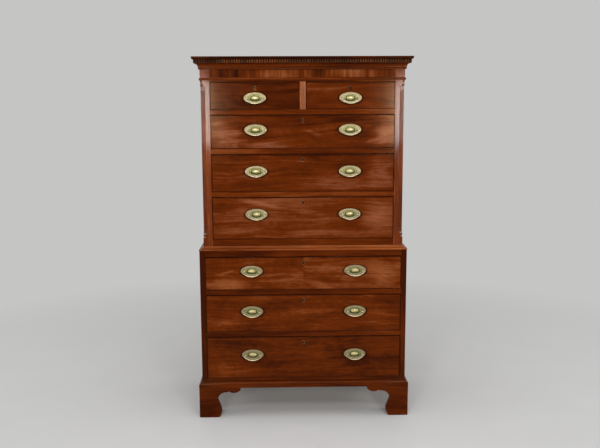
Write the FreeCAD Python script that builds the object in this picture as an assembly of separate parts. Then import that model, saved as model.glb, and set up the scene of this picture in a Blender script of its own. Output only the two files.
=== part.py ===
import FreeCAD, Part
import os
from dataclasses import dataclass
from math import atan2, cos, pi, sin, sqrt

# Chest on chest: a chest of four tiers of drawers standing on a chest of three, with canted and fluted
# upper corners, a dentil cornice, cockbeaded drawers with oval brass bail handles, and bracket feet.
# Frame: +Z is up and the front faces -Y. The origin lies on the floor, under the middle of the whole.
# All lengths are in millimetres.

V = FreeCAD.Vector

# ---------------------------------------------------------------- driving dimensions
# The two cases
UPPER_WIDTH = 1018.0
UPPER_DEPTH = 513.0
LOWER_WIDTH = 1059.0
LOWER_DEPTH = 533.0
BACKBOARD = 12.0
BACKBOARDS = 4              # upright boards in the back of each case
CASE_BOARD = 18.0           # top and bottom boards
LOWER_FLOOR = 10.0          # lower edge of the case to the underside of its bottom board
UPPER_FLOOR = 6.0
FRIEZE_BOARD = 20.0
UPPER_SIDE = 20.0
LOWER_SIDE = 26.5
CORNER_POST = 47.5          # square section of the upper case's front posts

# Heights, from the floor up
FOOT_HEIGHT = 160.0
BASE_MOULDING = 32.0
BASE_RAIL_SHOWN = 16.0
RAIL = 25.0
LOWER_TOP_RAIL = 32.0
WAIST_MOULDING = 21.0
UPPER_BOTTOM_RAIL = 56.0
ASTRAGAL_GAP = 6.0          # top of the highest drawers to the underside of the astragal
ASTRAGAL = 14.0
FRIEZE = 39.0
BED_MOULDING = 32.0
DENTIL_HEIGHT = 16.0
CROWN = 14.0

# Tiers from the bottom up: name, height of the opening, height of the handles above its lower edge
LOWER_TIERS = (("lower_3", 223.0, 126.0), ("lower_2", 198.0, 109.0), ("lower_1", 173.0, 99.0))
UPPER_TIERS = (("upper_4", 217.0, 128.0), ("upper_3", 193.0, 104.0), ("upper_2", 170.0, 94.0),
               ("short", 136.0, 56.0))
MUNTIN = 30.0               # upright between the two short drawers
LOWER_HANDLES = 265.0       # from the middle of the case to a handle's middle
UPPER_HANDLES = 237.0
KEYHOLE_DROP = 31.0         # from the top of an opening to its keyhole
KEYHOLE = (4.0, 12.0)       # width and height of the slot

# Mouldings and feet
BASE_REACH = 16.0           # base moulding and feet beyond the lower case
WAIST_REACH = 22.5          # waist moulding beyond the upper case
WAIST_GAP = 0.2             # between them, so that the upper case lifts out
CROWN_REACH = 37.0
DENTIL_REACH = 28.0
DENTIL_DEPTH = 8.0
DENTIL_WIDTH = 7.8
DENTIL_PITCH = 12.4
FOOT_BOARD = 20.0
GLUE_BLOCK = 38.0
BLOCK_RISE = 4.0            # floor to the glue blocks
CANT = 25.2                 # width and depth of the canted corner in plan
STOP_FOOT = 6.0             # lowest opening to the foot of the canted corner
STOP_HEAD = 5.0             # highest opening to its head
STOP_LEDGE = 5.0            # step in from the arris at either end
STOP_SHELF = 4.8            # step down onto the canted face
STOP_LENGTH = 27.0
FLUTE_FOOT = 55.0           # lowest opening to the foot of the flutes
FLUTE_HEAD = 43.0           # highest opening down to their head
FLUTES = 3
FLUTE_RADIUS = 4.5
FLUTE_DEPTH = 2.0
FLUTE_PITCH = 10.5

# Rails and running gear
RAIL_DEPTH = 50.0
DUSTBOARD = 8.0
RUNNER = 20.0               # what a drawer side runs on, beyond the side of the opening
GUIDE_HEIGHT = 20.0
DUSTBOARD_GAP = 10.0        # behind a dustboard
STOP = (40.0, 20.0, 5.0)
STOP_GAP = 0.3              # drawer front to its stops

# Drawers
FRONT = 20.0
SIDE = 10.0
BOTTOM = 7.0
BOTTOM_RISE = 8.0           # lower edge of a drawer to the underside of its bottom
LAP = 6.0                   # wood left in front of the dovetails
GROOVE = 4.0
BEAD = 3.0
BEAD_DEPTH = 8.0
BEAD_PROUD = 2.5
TAIL_PITCH = 65.0
TAIL_TIP = 0.76             # widths of a dovetail, as parts of the pitch
TAIL_ROOT = 0.60
TAIL_MARGIN = (4.0, 2.0)    # below the lowest and above the highest dovetail
GAP_SIDE = 0.6
GAP_BELOW = 0.4
GAP_ABOVE = 1.8
GAP_BEHIND = 14.0
SIDE_DROP = 6.0             # from the top of an opening to the drawer's sides
BACK_DROP = 14.0            # and to its back

# Brass: oval plates, posts, bails and locks
PLATE_WIDTH = 114.3
PLATE_HEIGHT = 57.0
PLATE = 1.5
POST_SPREAD = 37.0          # plate's middle to a post
POST_RADIUS = 3.8
POST_LENGTH = 20.0
POST_DROP = 2.0             # posts below the plate's middle
PIVOT_REACH = 15.4          # drawer front to the axis of the bail
BAR_RADIUS = 2.0            # the bail's bar and pins, to their corners
PIN_CLEARANCE = 0.06
BAIL_SPREAD = 44.2
BAIL_DROP = 25.0
BAIL_SHOULDER = 14.0        # radius of the bail's upper bends
PLATE_FLATS = 20            # small round brass is drawn with flats, as there is so much of it
POST_FLATS = 8
LOCK = (64.0, 11.0, 38.0)
BOLT = (18.0, 5.4, 21.7)
BOLT_THROW = 8.0
BOLT_GAP = 0.3              # round the bolt inside the lock
MORTISE_GAP = 1.5           # round the bolt in the rail

# ---------------------------------------------------------------- derived places
OVERALL_DEPTH = LOWER_DEPTH + POST_LENGTH
BACK_Y = OVERALL_DEPTH / 2
LOWER_FRONT = BACK_Y - LOWER_DEPTH
UPPER_FRONT = BACK_Y - UPPER_DEPTH
LOWER_HALF = LOWER_WIDTH / 2
UPPER_HALF = UPPER_WIDTH / 2
INNER_BACK = BACK_Y - BACKBOARD
LOWER_OPENING = LOWER_HALF - LOWER_SIDE
UPPER_OPENING = UPPER_HALF - CORNER_POST
FOOT_HALF = LOWER_HALF + BASE_REACH
FOOT_FRONT = LOWER_FRONT - BASE_REACH

BASE_TOP = FOOT_HEIGHT + BASE_MOULDING
LOWER_FIRST = BASE_TOP + BASE_RAIL_SHOWN
LOWER_TOP = LOWER_FIRST + sum(t[1] for t in LOWER_TIERS) + RAIL * (len(LOWER_TIERS) - 1) + LOWER_TOP_RAIL
UPPER_FIRST = LOWER_TOP + UPPER_BOTTOM_RAIL
UPPER_LAST = UPPER_FIRST + sum(t[1] for t in UPPER_TIERS) + RAIL * (len(UPPER_TIERS) - 1)
ASTRAGAL_BASE = UPPER_LAST + ASTRAGAL_GAP
FRIEZE_BASE = ASTRAGAL_BASE + ASTRAGAL
BED_BASE = FRIEZE_BASE + FRIEZE
DENTIL_BASE = BED_BASE + BED_MOULDING
CROWN_BASE = DENTIL_BASE + DENTIL_HEIGHT
HEIGHT = CROWN_BASE + CROWN


@dataclass
class Opening:
    """The hole in a case that one drawer fills."""
    name: str
    left: float
    right: float
    low: float
    high: float
    front: float            # Y of the case's front
    handle_z: float
    handle_xs: tuple

    @property
    def middle(self):
        return (self.left + self.right) / 2

    @property
    def length(self):
        """Length of the drawer, which stops short of the backboards."""
        return INNER_BACK - self.front - GAP_BEHIND


# ---------------------------------------------------------------- helpers
def box(x0, x1, y0, y1, z0, z1):
    """Box between two values on each axis."""
    return Part.makeBox(x1 - x0, y1 - y0, z1 - z0, V(x0, y0, z0))


def both_sides(shape):
    """A piece of the right-hand side and its mirror image on the left."""
    return [shape, shape.mirror(V(0, 0, 0), V(1, 0, 0))]


def outline(start, *steps):
    """Closed face in the XZ plane. A step is an end point, or for an arc a point on it and its end."""
    edges = []
    here = V(start[0], 0, start[1])
    for step in steps + (start,):
        arc = isinstance(step[0], tuple)
        end = step[1] if arc else step
        there = V(end[0], 0, end[1])
        if arc:
            edges.append(Part.Arc(here, V(step[0][0], 0, step[0][1]), there).toShape())
        elif (there - here).Length > 1e-6:
            edges.append(Part.makeLine(here, there))
        here = there
    return Part.Face(Part.Wire(edges))


def mitre(half_width, front, keep_front):
    """Right-hand wedge that trims a run of moulding to the 45 degree line through a front corner."""
    reach = 90.0
    inner = V(half_width - reach, front + reach, -1)
    outer = V(half_width + reach, front - reach, -1)
    waste = V(half_width + reach, front + reach, -1)
    if not keep_front:
        waste = V(half_width - reach, front - reach, -1)
    return Part.Face(Part.makePolygon([inner, outer, waste, inner])).extrude(V(0, 0, HEIGHT + 2))


def runs(profile, half_width, front):
    """A moulding's front length and two side lengths. The profile's X is its reach from the case."""
    spare = profile.BoundBox.XMax + 5
    side = profile.translated(V(half_width, front - spare, 0)).extrude(V(0, BACK_Y - front + spare, 0))
    side = side.cut(mitre(half_width, front, False))
    face = profile.rotated(V(0, 0, 0), V(0, 0, 1), -90)
    face = face.translated(V(-half_width - spare, front, 0))
    length = face.extrude(V(2 * (half_width + spare), 0, 0))
    for wedge in both_sides(mitre(half_width, front, True)):
        length = length.cut(wedge)
    return [length] + both_sides(side)


def tiers(table, first):
    """Name, lower edge, upper edge and handle height of each tier, from the bottom up."""
    rows = []
    low = first
    for name, height, handle in table:
        rows.append((name, low, low + height, low + handle))
        low += height + RAIL
    return rows


def openings():
    """The eight drawer openings of both cases."""
    found = []
    spread = (-LOWER_HANDLES, LOWER_HANDLES)
    for name, low, high, grip in tiers(LOWER_TIERS, LOWER_FIRST):
        found.append(Opening(name, -LOWER_OPENING, LOWER_OPENING, low, high, LOWER_FRONT, grip, spread))
    spread = (-UPPER_HANDLES, UPPER_HANDLES)
    for name, low, high, grip in tiers(UPPER_TIERS, UPPER_FIRST):
        if name != "short":
            found.append(Opening(name, -UPPER_OPENING, UPPER_OPENING, low, high, UPPER_FRONT, grip, spread))
            continue
        near = MUNTIN / 2
        centre = (near + UPPER_OPENING) / 2
        found.append(Opening("short_left", -UPPER_OPENING, -near, low, high, UPPER_FRONT, grip, (-centre,)))
        found.append(Opening("short_right", near, UPPER_OPENING, low, high, UPPER_FRONT, grip, (centre,)))
    return found


# ---------------------------------------------------------------- carcass
def bolt_mortises(rows):
    """Holes in the rails above the drawers for the lock bolts."""
    cutters = []
    for hole in rows:
        y = hole.front + FRONT - LOCK[1] / 2
        half = BOLT[0] / 2 + MORTISE_GAP
        deep = BOLT[1] / 2 + MORTISE_GAP
        cutters.append(box(hole.middle - half, hole.middle + half, y - deep, y + deep,
                           hole.high - 1, hole.high + BOLT_THROW + 1))
    return Part.makeCompound(cutters)


def drawer_stops(rows):
    """Two blocks behind each drawer front, glued to the rail below it."""
    blocks = []
    for hole in rows:
        offset = (hole.right - hole.left) / 4
        for x in (hole.middle - offset, hole.middle + offset):
            y = hole.front + FRONT + STOP_GAP
            blocks.append(box(x - STOP[0] / 2, x + STOP[0] / 2, y, y + STOP[1], hole.low, hole.low + STOP[2]))
    return blocks


def rails(rows, half_opening, front, low, high):
    """Front rails between the tiers, with the lowest and highest rail reaching to low and high."""
    levels = sorted({(hole.low, hole.high) for hole in rows})
    edges = [low] + [z for pair in levels for z in pair] + [high]
    mortises = bolt_mortises(rows)
    bars = []
    for z0, z1 in zip(edges[0::2], edges[1::2]):
        bar = box(-half_opening, half_opening, front, front + RAIL_DEPTH, z0, z1)
        bars.append(bar.cut(mortises))
    return bars


def running_gear(rows, half_opening, half_inside, front, floor_z, ceiling_z):
    """Runners, dustboards and kickers behind the rails of one case."""
    start = front + RAIL_DEPTH
    levels = sorted({(hole.low, hole.high) for hole in rows})
    pieces = []
    inner = half_opening - RUNNER
    below = floor_z
    for low, high in levels:
        runner = box(inner, half_inside, start, INNER_BACK, below, low)
        pieces += both_sides(runner)
        if below > floor_z:
            middle = (below + low) / 2
            pieces.append(box(-inner, inner, start, INNER_BACK - DUSTBOARD_GAP, middle - DUSTBOARD / 2,
                              middle + DUSTBOARD / 2))
        below = high
    pieces += both_sides(box(inner, half_inside, start, INNER_BACK, below, ceiling_z))
    return pieces


def upper_sides():
    """Side boards behind the corner posts."""
    start = UPPER_FRONT + CORNER_POST
    return both_sides(box(UPPER_HALF - UPPER_SIDE, UPPER_HALF, start, BACK_Y, LOWER_TOP, CROWN_BASE))


def chamfer_tool():
    """What is cut away for the canted corner. X is the depth in from the arris, and both ends are moulded
    lamb's-tongue stops: a ledge, an ogee and a second ledge."""
    depth = CANT / sqrt(2)
    ledge = STOP_LEDGE
    shelf = depth - STOP_SHELF
    foot = UPPER_FIRST + STOP_FOOT
    head = UPPER_LAST + STOP_HEAD

    def stop(z, way):
        """Points of one stop from the arris inwards. way is 1 at the foot and -1 at the head."""
        return [(ledge, z),
                ((ledge + 3.1, z + way * 5.5), (ledge + 4.0, z + way * 13.0)),
                ((ledge + 4.9, z + way * 20.5), (shelf, z + way * STOP_LENGTH)),
                (depth, z + way * STOP_LENGTH)]

    up = stop(foot, 1)
    down = stop(head, -1)
    # the head's points run the other way, so each arc keeps its middle and takes the point before as end
    ends = [p[1] if isinstance(p[0], tuple) else p for p in down]
    back = [ends[3], ends[2], (down[2][0], ends[1]), (down[1][0], ends[0])]
    return outline((-5.0, foot), *up, *back, (-5.0, head))


def corner_posts():
    """Front posts of the upper case, canted and cut with three flutes between the moulded stops."""
    post = box(UPPER_OPENING, UPPER_HALF, UPPER_FRONT, UPPER_FRONT + CORNER_POST, LOWER_TOP, CROWN_BASE)
    tool = chamfer_tool().translated(V(0, -2 * CANT, 0)).extrude(V(0, 4 * CANT, 0))
    tool.rotate(V(0, 0, 0), V(0, 0, 1), 135)
    tool.translate(V(UPPER_HALF, UPPER_FRONT, 0))
    post = post.cut(tool)
    foot = UPPER_FIRST + FLUTE_FOOT
    head = UPPER_LAST - FLUTE_HEAD
    inward = V(-1, 1, 0).normalize()
    along = V(1, 1, 0).normalize()
    arris = V(UPPER_HALF, UPPER_FRONT, foot)
    axis = arris + inward * (CANT / sqrt(2) + FLUTE_DEPTH - FLUTE_RADIUS)
    for i in range(FLUTES):
        start = axis + along * ((i - (FLUTES - 1) / 2) * FLUTE_PITCH)
        post = post.cut(Part.makeCylinder(FLUTE_RADIUS, head - foot, start, V(0, 0, 1)))
    return both_sides(post)


def upper_case_boards():
    """Bottom board, top board and backboards of the upper case. The top board runs forward between the
    posts to the frieze board."""
    inside = UPPER_HALF - UPPER_SIDE
    behind_posts = UPPER_FRONT + CORNER_POST
    under = CROWN_BASE - CASE_BOARD
    floor = LOWER_TOP + UPPER_FLOOR
    bottom = box(-inside, inside, UPPER_FRONT + RAIL_DEPTH, INNER_BACK, floor, floor + CASE_BOARD)
    top = box(-inside, inside, behind_posts, INNER_BACK, under, CROWN_BASE)
    tongue = box(-UPPER_OPENING, UPPER_OPENING, UPPER_FRONT + FRIEZE_BOARD, behind_posts, under, CROWN_BASE)
    return [bottom, top.fuse(tongue).removeSplitter()] + backboards(inside, LOWER_TOP, CROWN_BASE)


def backboards(inside, low, high):
    """Upright boards that close the back between the sides."""
    width = 2 * inside / BACKBOARDS
    return [box(-inside + i * width, -inside + (i + 1) * width, INNER_BACK, BACK_Y, low, high)
            for i in range(BACKBOARDS)]


def upper_rails(rows):
    """Rails of the upper case and the muntin between its short drawers."""
    bars = rails(rows, UPPER_OPENING, UPPER_FRONT, LOWER_TOP, FRIEZE_BASE)
    low, high = UPPER_LAST - UPPER_TIERS[-1][1], UPPER_LAST
    half = MUNTIN / 2
    muntin = box(-half, half, UPPER_FRONT, UPPER_FRONT + RAIL_DEPTH, low, high)
    return bars + [muntin] + drawer_stops(rows)


def upper_running_gear(rows):
    """Running gear of the upper case, with side guides behind the posts and a middle runner and guide."""
    inside = UPPER_HALF - UPPER_SIDE
    floor = LOWER_TOP + UPPER_FLOOR + CASE_BOARD
    pieces = running_gear(rows, UPPER_OPENING, inside, UPPER_FRONT, floor, UPPER_LAST + RUNNER)
    start = UPPER_FRONT + RAIL_DEPTH
    for low in sorted({hole.low for hole in rows}):
        pieces += both_sides(box(UPPER_OPENING, inside, start, INNER_BACK, low, low + GUIDE_HEIGHT))
    short = UPPER_LAST - UPPER_TIERS[-1][1]
    half = MUNTIN / 2
    middle_runner = box(-half - RUNNER, half + RUNNER, start, INNER_BACK, short - RAIL, short)
    pieces = [p.cut(middle_runner) for p in pieces]
    guide = box(-half, half, start, INNER_BACK, short, short + GUIDE_HEIGHT)
    return [s for p in pieces for s in p.Solids] + [middle_runner, guide]


def lower_sides():
    """Side boards of the lower case, whose front edges show beside the drawers."""
    return both_sides(box(LOWER_OPENING, LOWER_HALF, LOWER_FRONT, BACK_Y, FOOT_HEIGHT, LOWER_TOP))


def lower_case_boards():
    """Bottom board, top board and backboards of the lower case."""
    front = LOWER_FRONT + RAIL_DEPTH
    floor = FOOT_HEIGHT + LOWER_FLOOR
    boards = [box(-LOWER_OPENING, LOWER_OPENING, front, INNER_BACK, floor, floor + CASE_BOARD),
              box(-LOWER_OPENING, LOWER_OPENING, front, INNER_BACK, LOWER_TOP - CASE_BOARD, LOWER_TOP)]
    return boards + backboards(LOWER_OPENING, FOOT_HEIGHT, LOWER_TOP)


def lower_rails(rows):
    """Rails of the lower case and its drawer stops."""
    return rails(rows, LOWER_OPENING, LOWER_FRONT, FOOT_HEIGHT, LOWER_TOP) + drawer_stops(rows)


def lower_running_gear(rows):
    """Running gear of the lower case."""
    floor = FOOT_HEIGHT + LOWER_FLOOR + CASE_BOARD
    return running_gear(rows, LOWER_OPENING, LOWER_OPENING, LOWER_FRONT, floor, LOWER_TOP - CASE_BOARD)


# ---------------------------------------------------------------- mouldings
def cornice():
    """Frieze board, astragal, bed moulding with its cove, and crown."""
    half = UPPER_OPENING
    board = box(-half, half, UPPER_FRONT, UPPER_FRONT + FRIEZE_BOARD, FRIEZE_BASE, CROWN_BASE)
    z = ASTRAGAL_BASE
    astragal = outline((0, z), (2, z), (2, z + 2.5), ((4.5, z + ASTRAGAL / 2), (2, z + ASTRAGAL - 2.5)),
                       (2, z + ASTRAGAL), (0, z + ASTRAGAL))
    z = BED_BASE
    top = DENTIL_BASE
    bed = outline((0, z), (4, z), (6, z + 2), (6, z + 8), (8, z + 8), ((12.7, top - 7.6), (24, top - 3.5)),
                  (26, top - 3.5), (26, top), (0, top))
    z = CROWN_BASE
    reach = CROWN_REACH
    crown = outline((-UPPER_SIDE, z), (reach - 8, z), ((reach - 3.5, z + 2.0), (reach - 1.5, z + 5)),
                    (reach, z + 5), (reach, HEIGHT), (-UPPER_SIDE, HEIGHT))
    pieces = [board]
    for profile in (astragal, bed, crown):
        pieces += runs(profile, UPPER_HALF, UPPER_FRONT)
    return pieces


def dentil_course():
    """Plain strip under the crown and the row of dentils on it, spaced to end with one on each corner."""
    back = DENTIL_REACH - DENTIL_DEPTH
    strip = outline((0, DENTIL_BASE), (back, DENTIL_BASE), (back, CROWN_BASE), (0, CROWN_BASE))
    pieces = runs(strip, UPPER_HALF, UPPER_FRONT)
    span = 2 * (UPPER_HALF + DENTIL_REACH) - DENTIL_WIDTH
    count = round(span / DENTIL_PITCH)
    pitch = span / count
    face = UPPER_FRONT - DENTIL_REACH
    left = -UPPER_HALF - DENTIL_REACH
    for i in range(count + 1):
        x = left + i * pitch
        pieces.append(box(x, x + DENTIL_WIDTH, face, face + DENTIL_DEPTH, DENTIL_BASE, CROWN_BASE))
    y = face + pitch
    while y + DENTIL_WIDTH < BACK_Y:
        tooth = box(-left - DENTIL_DEPTH, -left, y, y + DENTIL_WIDTH, DENTIL_BASE, CROWN_BASE)
        pieces += both_sides(tooth)
        y += pitch
    return pieces


def waist_moulding():
    """Moulding round the foot of the upper case, fixed to the lower: a cove over a rounded nose."""
    z = LOWER_TOP
    top = z + WAIST_MOULDING
    reach = WAIST_REACH
    profile = outline((WAIST_GAP, z), (reach - 1.5, z), ((reach, z + 4.0), (reach - 3.5, z + 8.5)),
                      ((6.0, z + 12.5), (2.0, top - 2)), (2.0, top), (WAIST_GAP, top))
    return runs(profile, UPPER_HALF, UPPER_FRONT)


def base_moulding():
    """Moulding round the foot of the lower case: a fascia with an ovolo on its upper edge."""
    z = FOOT_HEIGHT
    top = BASE_TOP
    fascia = z + 16.5
    profile = outline((0, z), (BASE_REACH, z), (BASE_REACH, fascia), (BASE_REACH - 1.5, fascia),
                      ((BASE_REACH - 5.0, fascia + 9.5), (4, top - 2)), (4, top), (0, top))
    return runs(profile, LOWER_HALF, LOWER_FRONT)


def bracket_outline():
    """Face of one bracket, X out from the corner: foot with a scrolled inner edge, cusp, quarter round,
    step and lobe."""
    h = FOOT_HEIGHT
    return outline((0, 0), (100, 0), ((113, 22), (116.5, 48)), (97, 99), ((107, 122), (140, 136)),
                   (150, 136), (150, 142), ((184, 132.5), (215, 148)), (215, h), (0, h))


def rear_bracket_outline():
    """Plain board behind a rear foot, X out from the side bracket."""
    h = FOOT_HEIGHT
    return outline((0, 0), (60, 0), ((95, 75), (170, 120)), (170, h), (0, h))


def front_feet():
    """Front feet: a front and a side bracket, mitred at the corner, with a glue block behind them."""
    outer = V(FOOT_HALF, FOOT_FRONT, 0)
    face = bracket_outline()
    front = face.mirror(V(0, 0, 0), V(1, 0, 0)).translated(outer).extrude(V(0, FOOT_BOARD, 0))
    front = front.cut(mitre(FOOT_HALF, FOOT_FRONT, True))
    side = face.rotated(V(0, 0, 0), V(0, 0, 1), 90).translated(outer).extrude(V(-FOOT_BOARD, 0, 0))
    side = side.cut(mitre(FOOT_HALF, FOOT_FRONT, False))
    return both_sides(front) + both_sides(side) + both_sides(glue_block(FOOT_FRONT + FOOT_BOARD))


def back_feet():
    """Back feet: a side bracket, a plain board across the back and a glue block."""
    side = bracket_outline().rotated(V(0, 0, 0), V(0, 0, 1), -90).translated(V(FOOT_HALF, BACK_Y, 0))
    side = side.extrude(V(-FOOT_BOARD, 0, 0))
    board = rear_bracket_outline().mirror(V(0, 0, 0), V(1, 0, 0))
    board = board.translated(V(FOOT_HALF - FOOT_BOARD, BACK_Y - FOOT_BOARD, 0)).extrude(V(0, FOOT_BOARD, 0))
    block = glue_block(BACK_Y - FOOT_BOARD - GLUE_BLOCK)
    return both_sides(side) + both_sides(board) + both_sides(block)


def glue_block(y):
    """Upright block in the inner corner of a right-hand foot, just clear of the floor."""
    inside = FOOT_HALF - FOOT_BOARD
    return box(inside - GLUE_BLOCK, inside, y, y + GLUE_BLOCK, BLOCK_RISE, FOOT_HEIGHT)


# ---------------------------------------------------------------- drawers
def tails(hole, low, high):
    """Dovetails on the front end of the right-hand drawer side, wider at their tips."""
    low += TAIL_MARGIN[0]
    high -= TAIL_MARGIN[1]
    count = round((high - low) / TAIL_PITCH)
    pitch = (high - low) / count
    tip = hole.front + LAP
    root = hole.front + FRONT
    outer = hole.right - GAP_SIDE * 2
    shapes = []
    for i in range(count):
        middle = low + (i + 0.5) * pitch
        wide = pitch * TAIL_TIP / 2
        narrow = pitch * TAIL_ROOT / 2
        corners = [V(outer, tip, middle - wide), V(outer, tip, middle + wide),
                   V(outer, root, middle + narrow), V(outer, root, middle - narrow)]
        shapes.append(Part.Face(Part.makePolygon(corners + corners[:1])).extrude(V(-SIDE, 0, 0)))
    return shapes


def mirrored_about(shape, x):
    """Mirror image of a shape in the upright plane at x."""
    return shape.mirror(V(x, 0, 0), V(1, 0, 0))


def drawer_levels(hole):
    """Lower edge of a drawer, and the top of its front, its sides and its back."""
    return hole.low + GAP_BELOW, hole.high - GAP_ABOVE, hole.high - SIDE_DROP, hole.high - BACK_DROP


def drawer_box(hole):
    """Sides with their dovetails, back and bottom."""
    low, _, side_top, back_top = drawer_levels(hole)
    outer = hole.right - GAP_SIDE * 2
    inner = outer - SIDE
    start = hole.front + FRONT
    end = hole.front + hole.length
    panel = (low + BOTTOM_RISE, low + BOTTOM_RISE + BOTTOM)
    side = box(inner, outer, start, end, low, side_top).multiFuse(tails(hole, low, side_top))
    side = side.removeSplitter()
    side = side.cut(box(inner, inner + GROOVE, start - LAP, end + 1, *panel))
    left_inner = 2 * hole.middle - inner
    back = box(left_inner, inner, end - SIDE, end, panel[1], back_top)
    bottom = box(left_inner - GROOVE, inner + GROOVE, start - GROOVE, end, *panel)
    return [side, mirrored_about(side, hole.middle), back, bottom]


def cockbead(hole):
    """Four thin strips, mitred at the corners, that edge the front and stand proud of its face."""
    low, high, _, _ = drawer_levels(hole)
    left = hole.left + GAP_SIDE
    right = hole.right - GAP_SIDE
    y = hole.front - BEAD_PROUD
    outer = [V(left, y, low), V(right, y, low), V(right, y, high), V(left, y, high)]
    inner = [V(left + BEAD, y, low + BEAD), V(right - BEAD, y, low + BEAD),
             V(right - BEAD, y, high - BEAD), V(left + BEAD, y, high - BEAD)]
    strips = []
    for i in range(4):
        corners = [outer[i - 1], outer[i], inner[i], inner[i - 1], outer[i - 1]]
        strips.append(Part.Face(Part.makePolygon(corners)).extrude(V(0, BEAD_DEPTH, 0)))
    return strips


def keyhole(hole):
    """Slot for the key, through the drawer front as far as the lock."""
    z = hole.high - KEYHOLE_DROP
    wide, high = KEYHOLE[0] / 2, KEYHOLE[1] / 2
    return box(hole.middle - wide, hole.middle + wide, hole.front - 1, hole.front + FRONT - LOCK[1],
               z - high, z + high)


def drawer_front(hole):
    """Front board with its cockbead, sockets for the dovetails, groove, lock recess and keyhole."""
    low, high, side_top, _ = drawer_levels(hole)
    left = hole.left + GAP_SIDE
    right = hole.right - GAP_SIDE
    y = hole.front
    board = box(left, right, y, y + FRONT, low, high)
    bead = cockbead(hole)
    sockets = tails(hole, low, side_top)
    sockets += [mirrored_about(s, hole.middle) for s in sockets]
    panel = low + BOTTOM_RISE
    inner = hole.right - GAP_SIDE * 2 - SIDE + GROOVE
    groove = box(2 * hole.middle - inner, inner, y + FRONT - GROOVE, y + FRONT + 1, panel, panel + BOTTOM)
    recess = box(hole.middle - LOCK[0] / 2, hole.middle + LOCK[0] / 2, y + FRONT - LOCK[1], y + FRONT + 1,
                 high - LOCK[2], high + 1)
    return [board.cut(sockets + bead + [groove, recess, keyhole(hole)])] + bead


def flat_sided(half_width, half_height, flats):
    """Face in the XZ plane: a circle or oval drawn with flats, the first one square to X."""
    swell = 1 / cos(pi / flats)
    turns = [pi * (2 * i + 1) / flats for i in range(flats)]
    corners = [V(half_width * swell * cos(a), 0, half_height * swell * sin(a)) for a in turns]
    return Part.Face(Part.makePolygon(corners + corners[:1]))


def handle_plate(x, hole):
    """Oval plate with its two posts. Each post has a cross bore, open outwards, for a pin of the bail."""
    oval = flat_sided(PLATE_WIDTH / 2, PLATE_HEIGHT / 2, PLATE_FLATS).extrude(V(0, -PLATE, 0))
    plate = oval.translated(V(x, hole.front, hole.handle_z))
    for side_x in (-1, 1):
        foot = V(x + side_x * POST_SPREAD, hole.front - PLATE, hole.handle_z - POST_DROP)
        post = flat_sided(POST_RADIUS, POST_RADIUS, POST_FLATS).translated(foot)
        bore_radius = BAR_RADIUS + PIN_CLEARANCE
        bore = flat_sided(bore_radius, bore_radius, POST_FLATS).rotated(V(0, 0, 0), V(0, 0, 1), 90)
        bore.translate(V(foot.x - side_x * POST_RADIUS / 2, hole.front - PIVOT_REACH, foot.z))
        plate = plate.fuse(post.extrude(V(0, PLATE - POST_LENGTH, 0)))
        plate = plate.cut(bore.extrude(V(side_x * 2 * POST_RADIUS, 0, 0)))
    return plate.removeSplitter()


def lock_case(hole):
    """Lock case let into the back of the front, with a pocket for its bolt."""
    _, high, _, _ = drawer_levels(hole)
    y = hole.front + FRONT
    case = box(hole.middle - LOCK[0] / 2, hole.middle + LOCK[0] / 2, y - LOCK[1], y, high - LOCK[2], high)
    half = BOLT[0] / 2 + BOLT_GAP
    middle = y - LOCK[1] / 2
    deep = BOLT[1] / 2 + BOLT_GAP
    return case.cut(box(hole.middle - half, hole.middle + half, middle - deep, middle + deep,
                        high - BOLT[2] - 2, high + 1))


def lock_bolt(hole):
    """Bolt, which the key lifts into the rail above. At rest its end lies just below the lock's top."""
    _, high, _, _ = drawer_levels(hole)
    half = BOLT[0] / 2
    middle = hole.front + FRONT - LOCK[1] / 2
    deep = BOLT[1] / 2
    top = high - BOLT_GAP
    return box(hole.middle - half, hole.middle + half, middle - deep, middle + deep, top - BOLT[2], top)


def bail_path():
    """Middle line of the bail in the XZ plane, from the tip of one pin to the other: pins turned in at the
    top, then a shoulder arc on each side and a flatter belly arc that meets both without a kink."""
    centre = BAIL_SPREAD - BAIL_SHOULDER
    belly = (centre ** 2 + BAIL_DROP ** 2 - BAIL_SHOULDER ** 2) / (2 * (BAIL_DROP - BAIL_SHOULDER))
    meet = atan2(centre, belly - BAIL_DROP)
    corner = 1.5
    right = [V(POST_SPREAD - POST_RADIUS / 2 + 0.4, 0, 0), V(BAIL_SPREAD - corner, 0, 0)]
    for turn in (pi / 2 - 0.12, (pi / 2 + meet) / 2, meet):
        right.append(V(centre + BAIL_SHOULDER * sin(turn), 0, -BAIL_SHOULDER * cos(turn)))
    right.append(V(belly * sin(meet / 2), 0, belly - BAIL_DROP - belly * cos(meet / 2)))
    left = [V(-p.x, 0, p.z) for p in reversed(right)]
    return right + [V(0, 0, -BAIL_DROP)] + left


def bail():
    """Bail about its own pivot axis: an eight-sided bar that follows the path, mitred at each corner."""
    path = bail_path()
    across = V(0, 1, 0)
    rings = []
    for i, point in enumerate(path):
        before = (point - path[i - 1]).normalize() if i else None
        after = (path[i + 1] - point).normalize() if i + 1 < len(path) else None
        along = ((before or after) + (after or before)).normalize()
        stretch = 1 / along.dot(before or after)
        outward = along.cross(across) * stretch
        turns = [pi * (2 * k + 1) / POST_FLATS for k in range(POST_FLATS)]
        rings.append([point + (outward * cos(a) + across * sin(a)) * BAR_RADIUS for a in turns])
    faces = [Part.Face(Part.makePolygon(ring + ring[:1])) for ring in (rings[0], rings[-1])]
    for near, far in zip(rings, rings[1:]):
        for k in range(POST_FLATS):
            quad = [near[k - 1], near[k], far[k], far[k - 1], near[k - 1]]
            faces.append(Part.Face(Part.makePolygon(quad)))
    solid = Part.Solid(Part.Shell(faces))
    if solid.Volume < 0:
        solid.reverse()
    return solid


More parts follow.
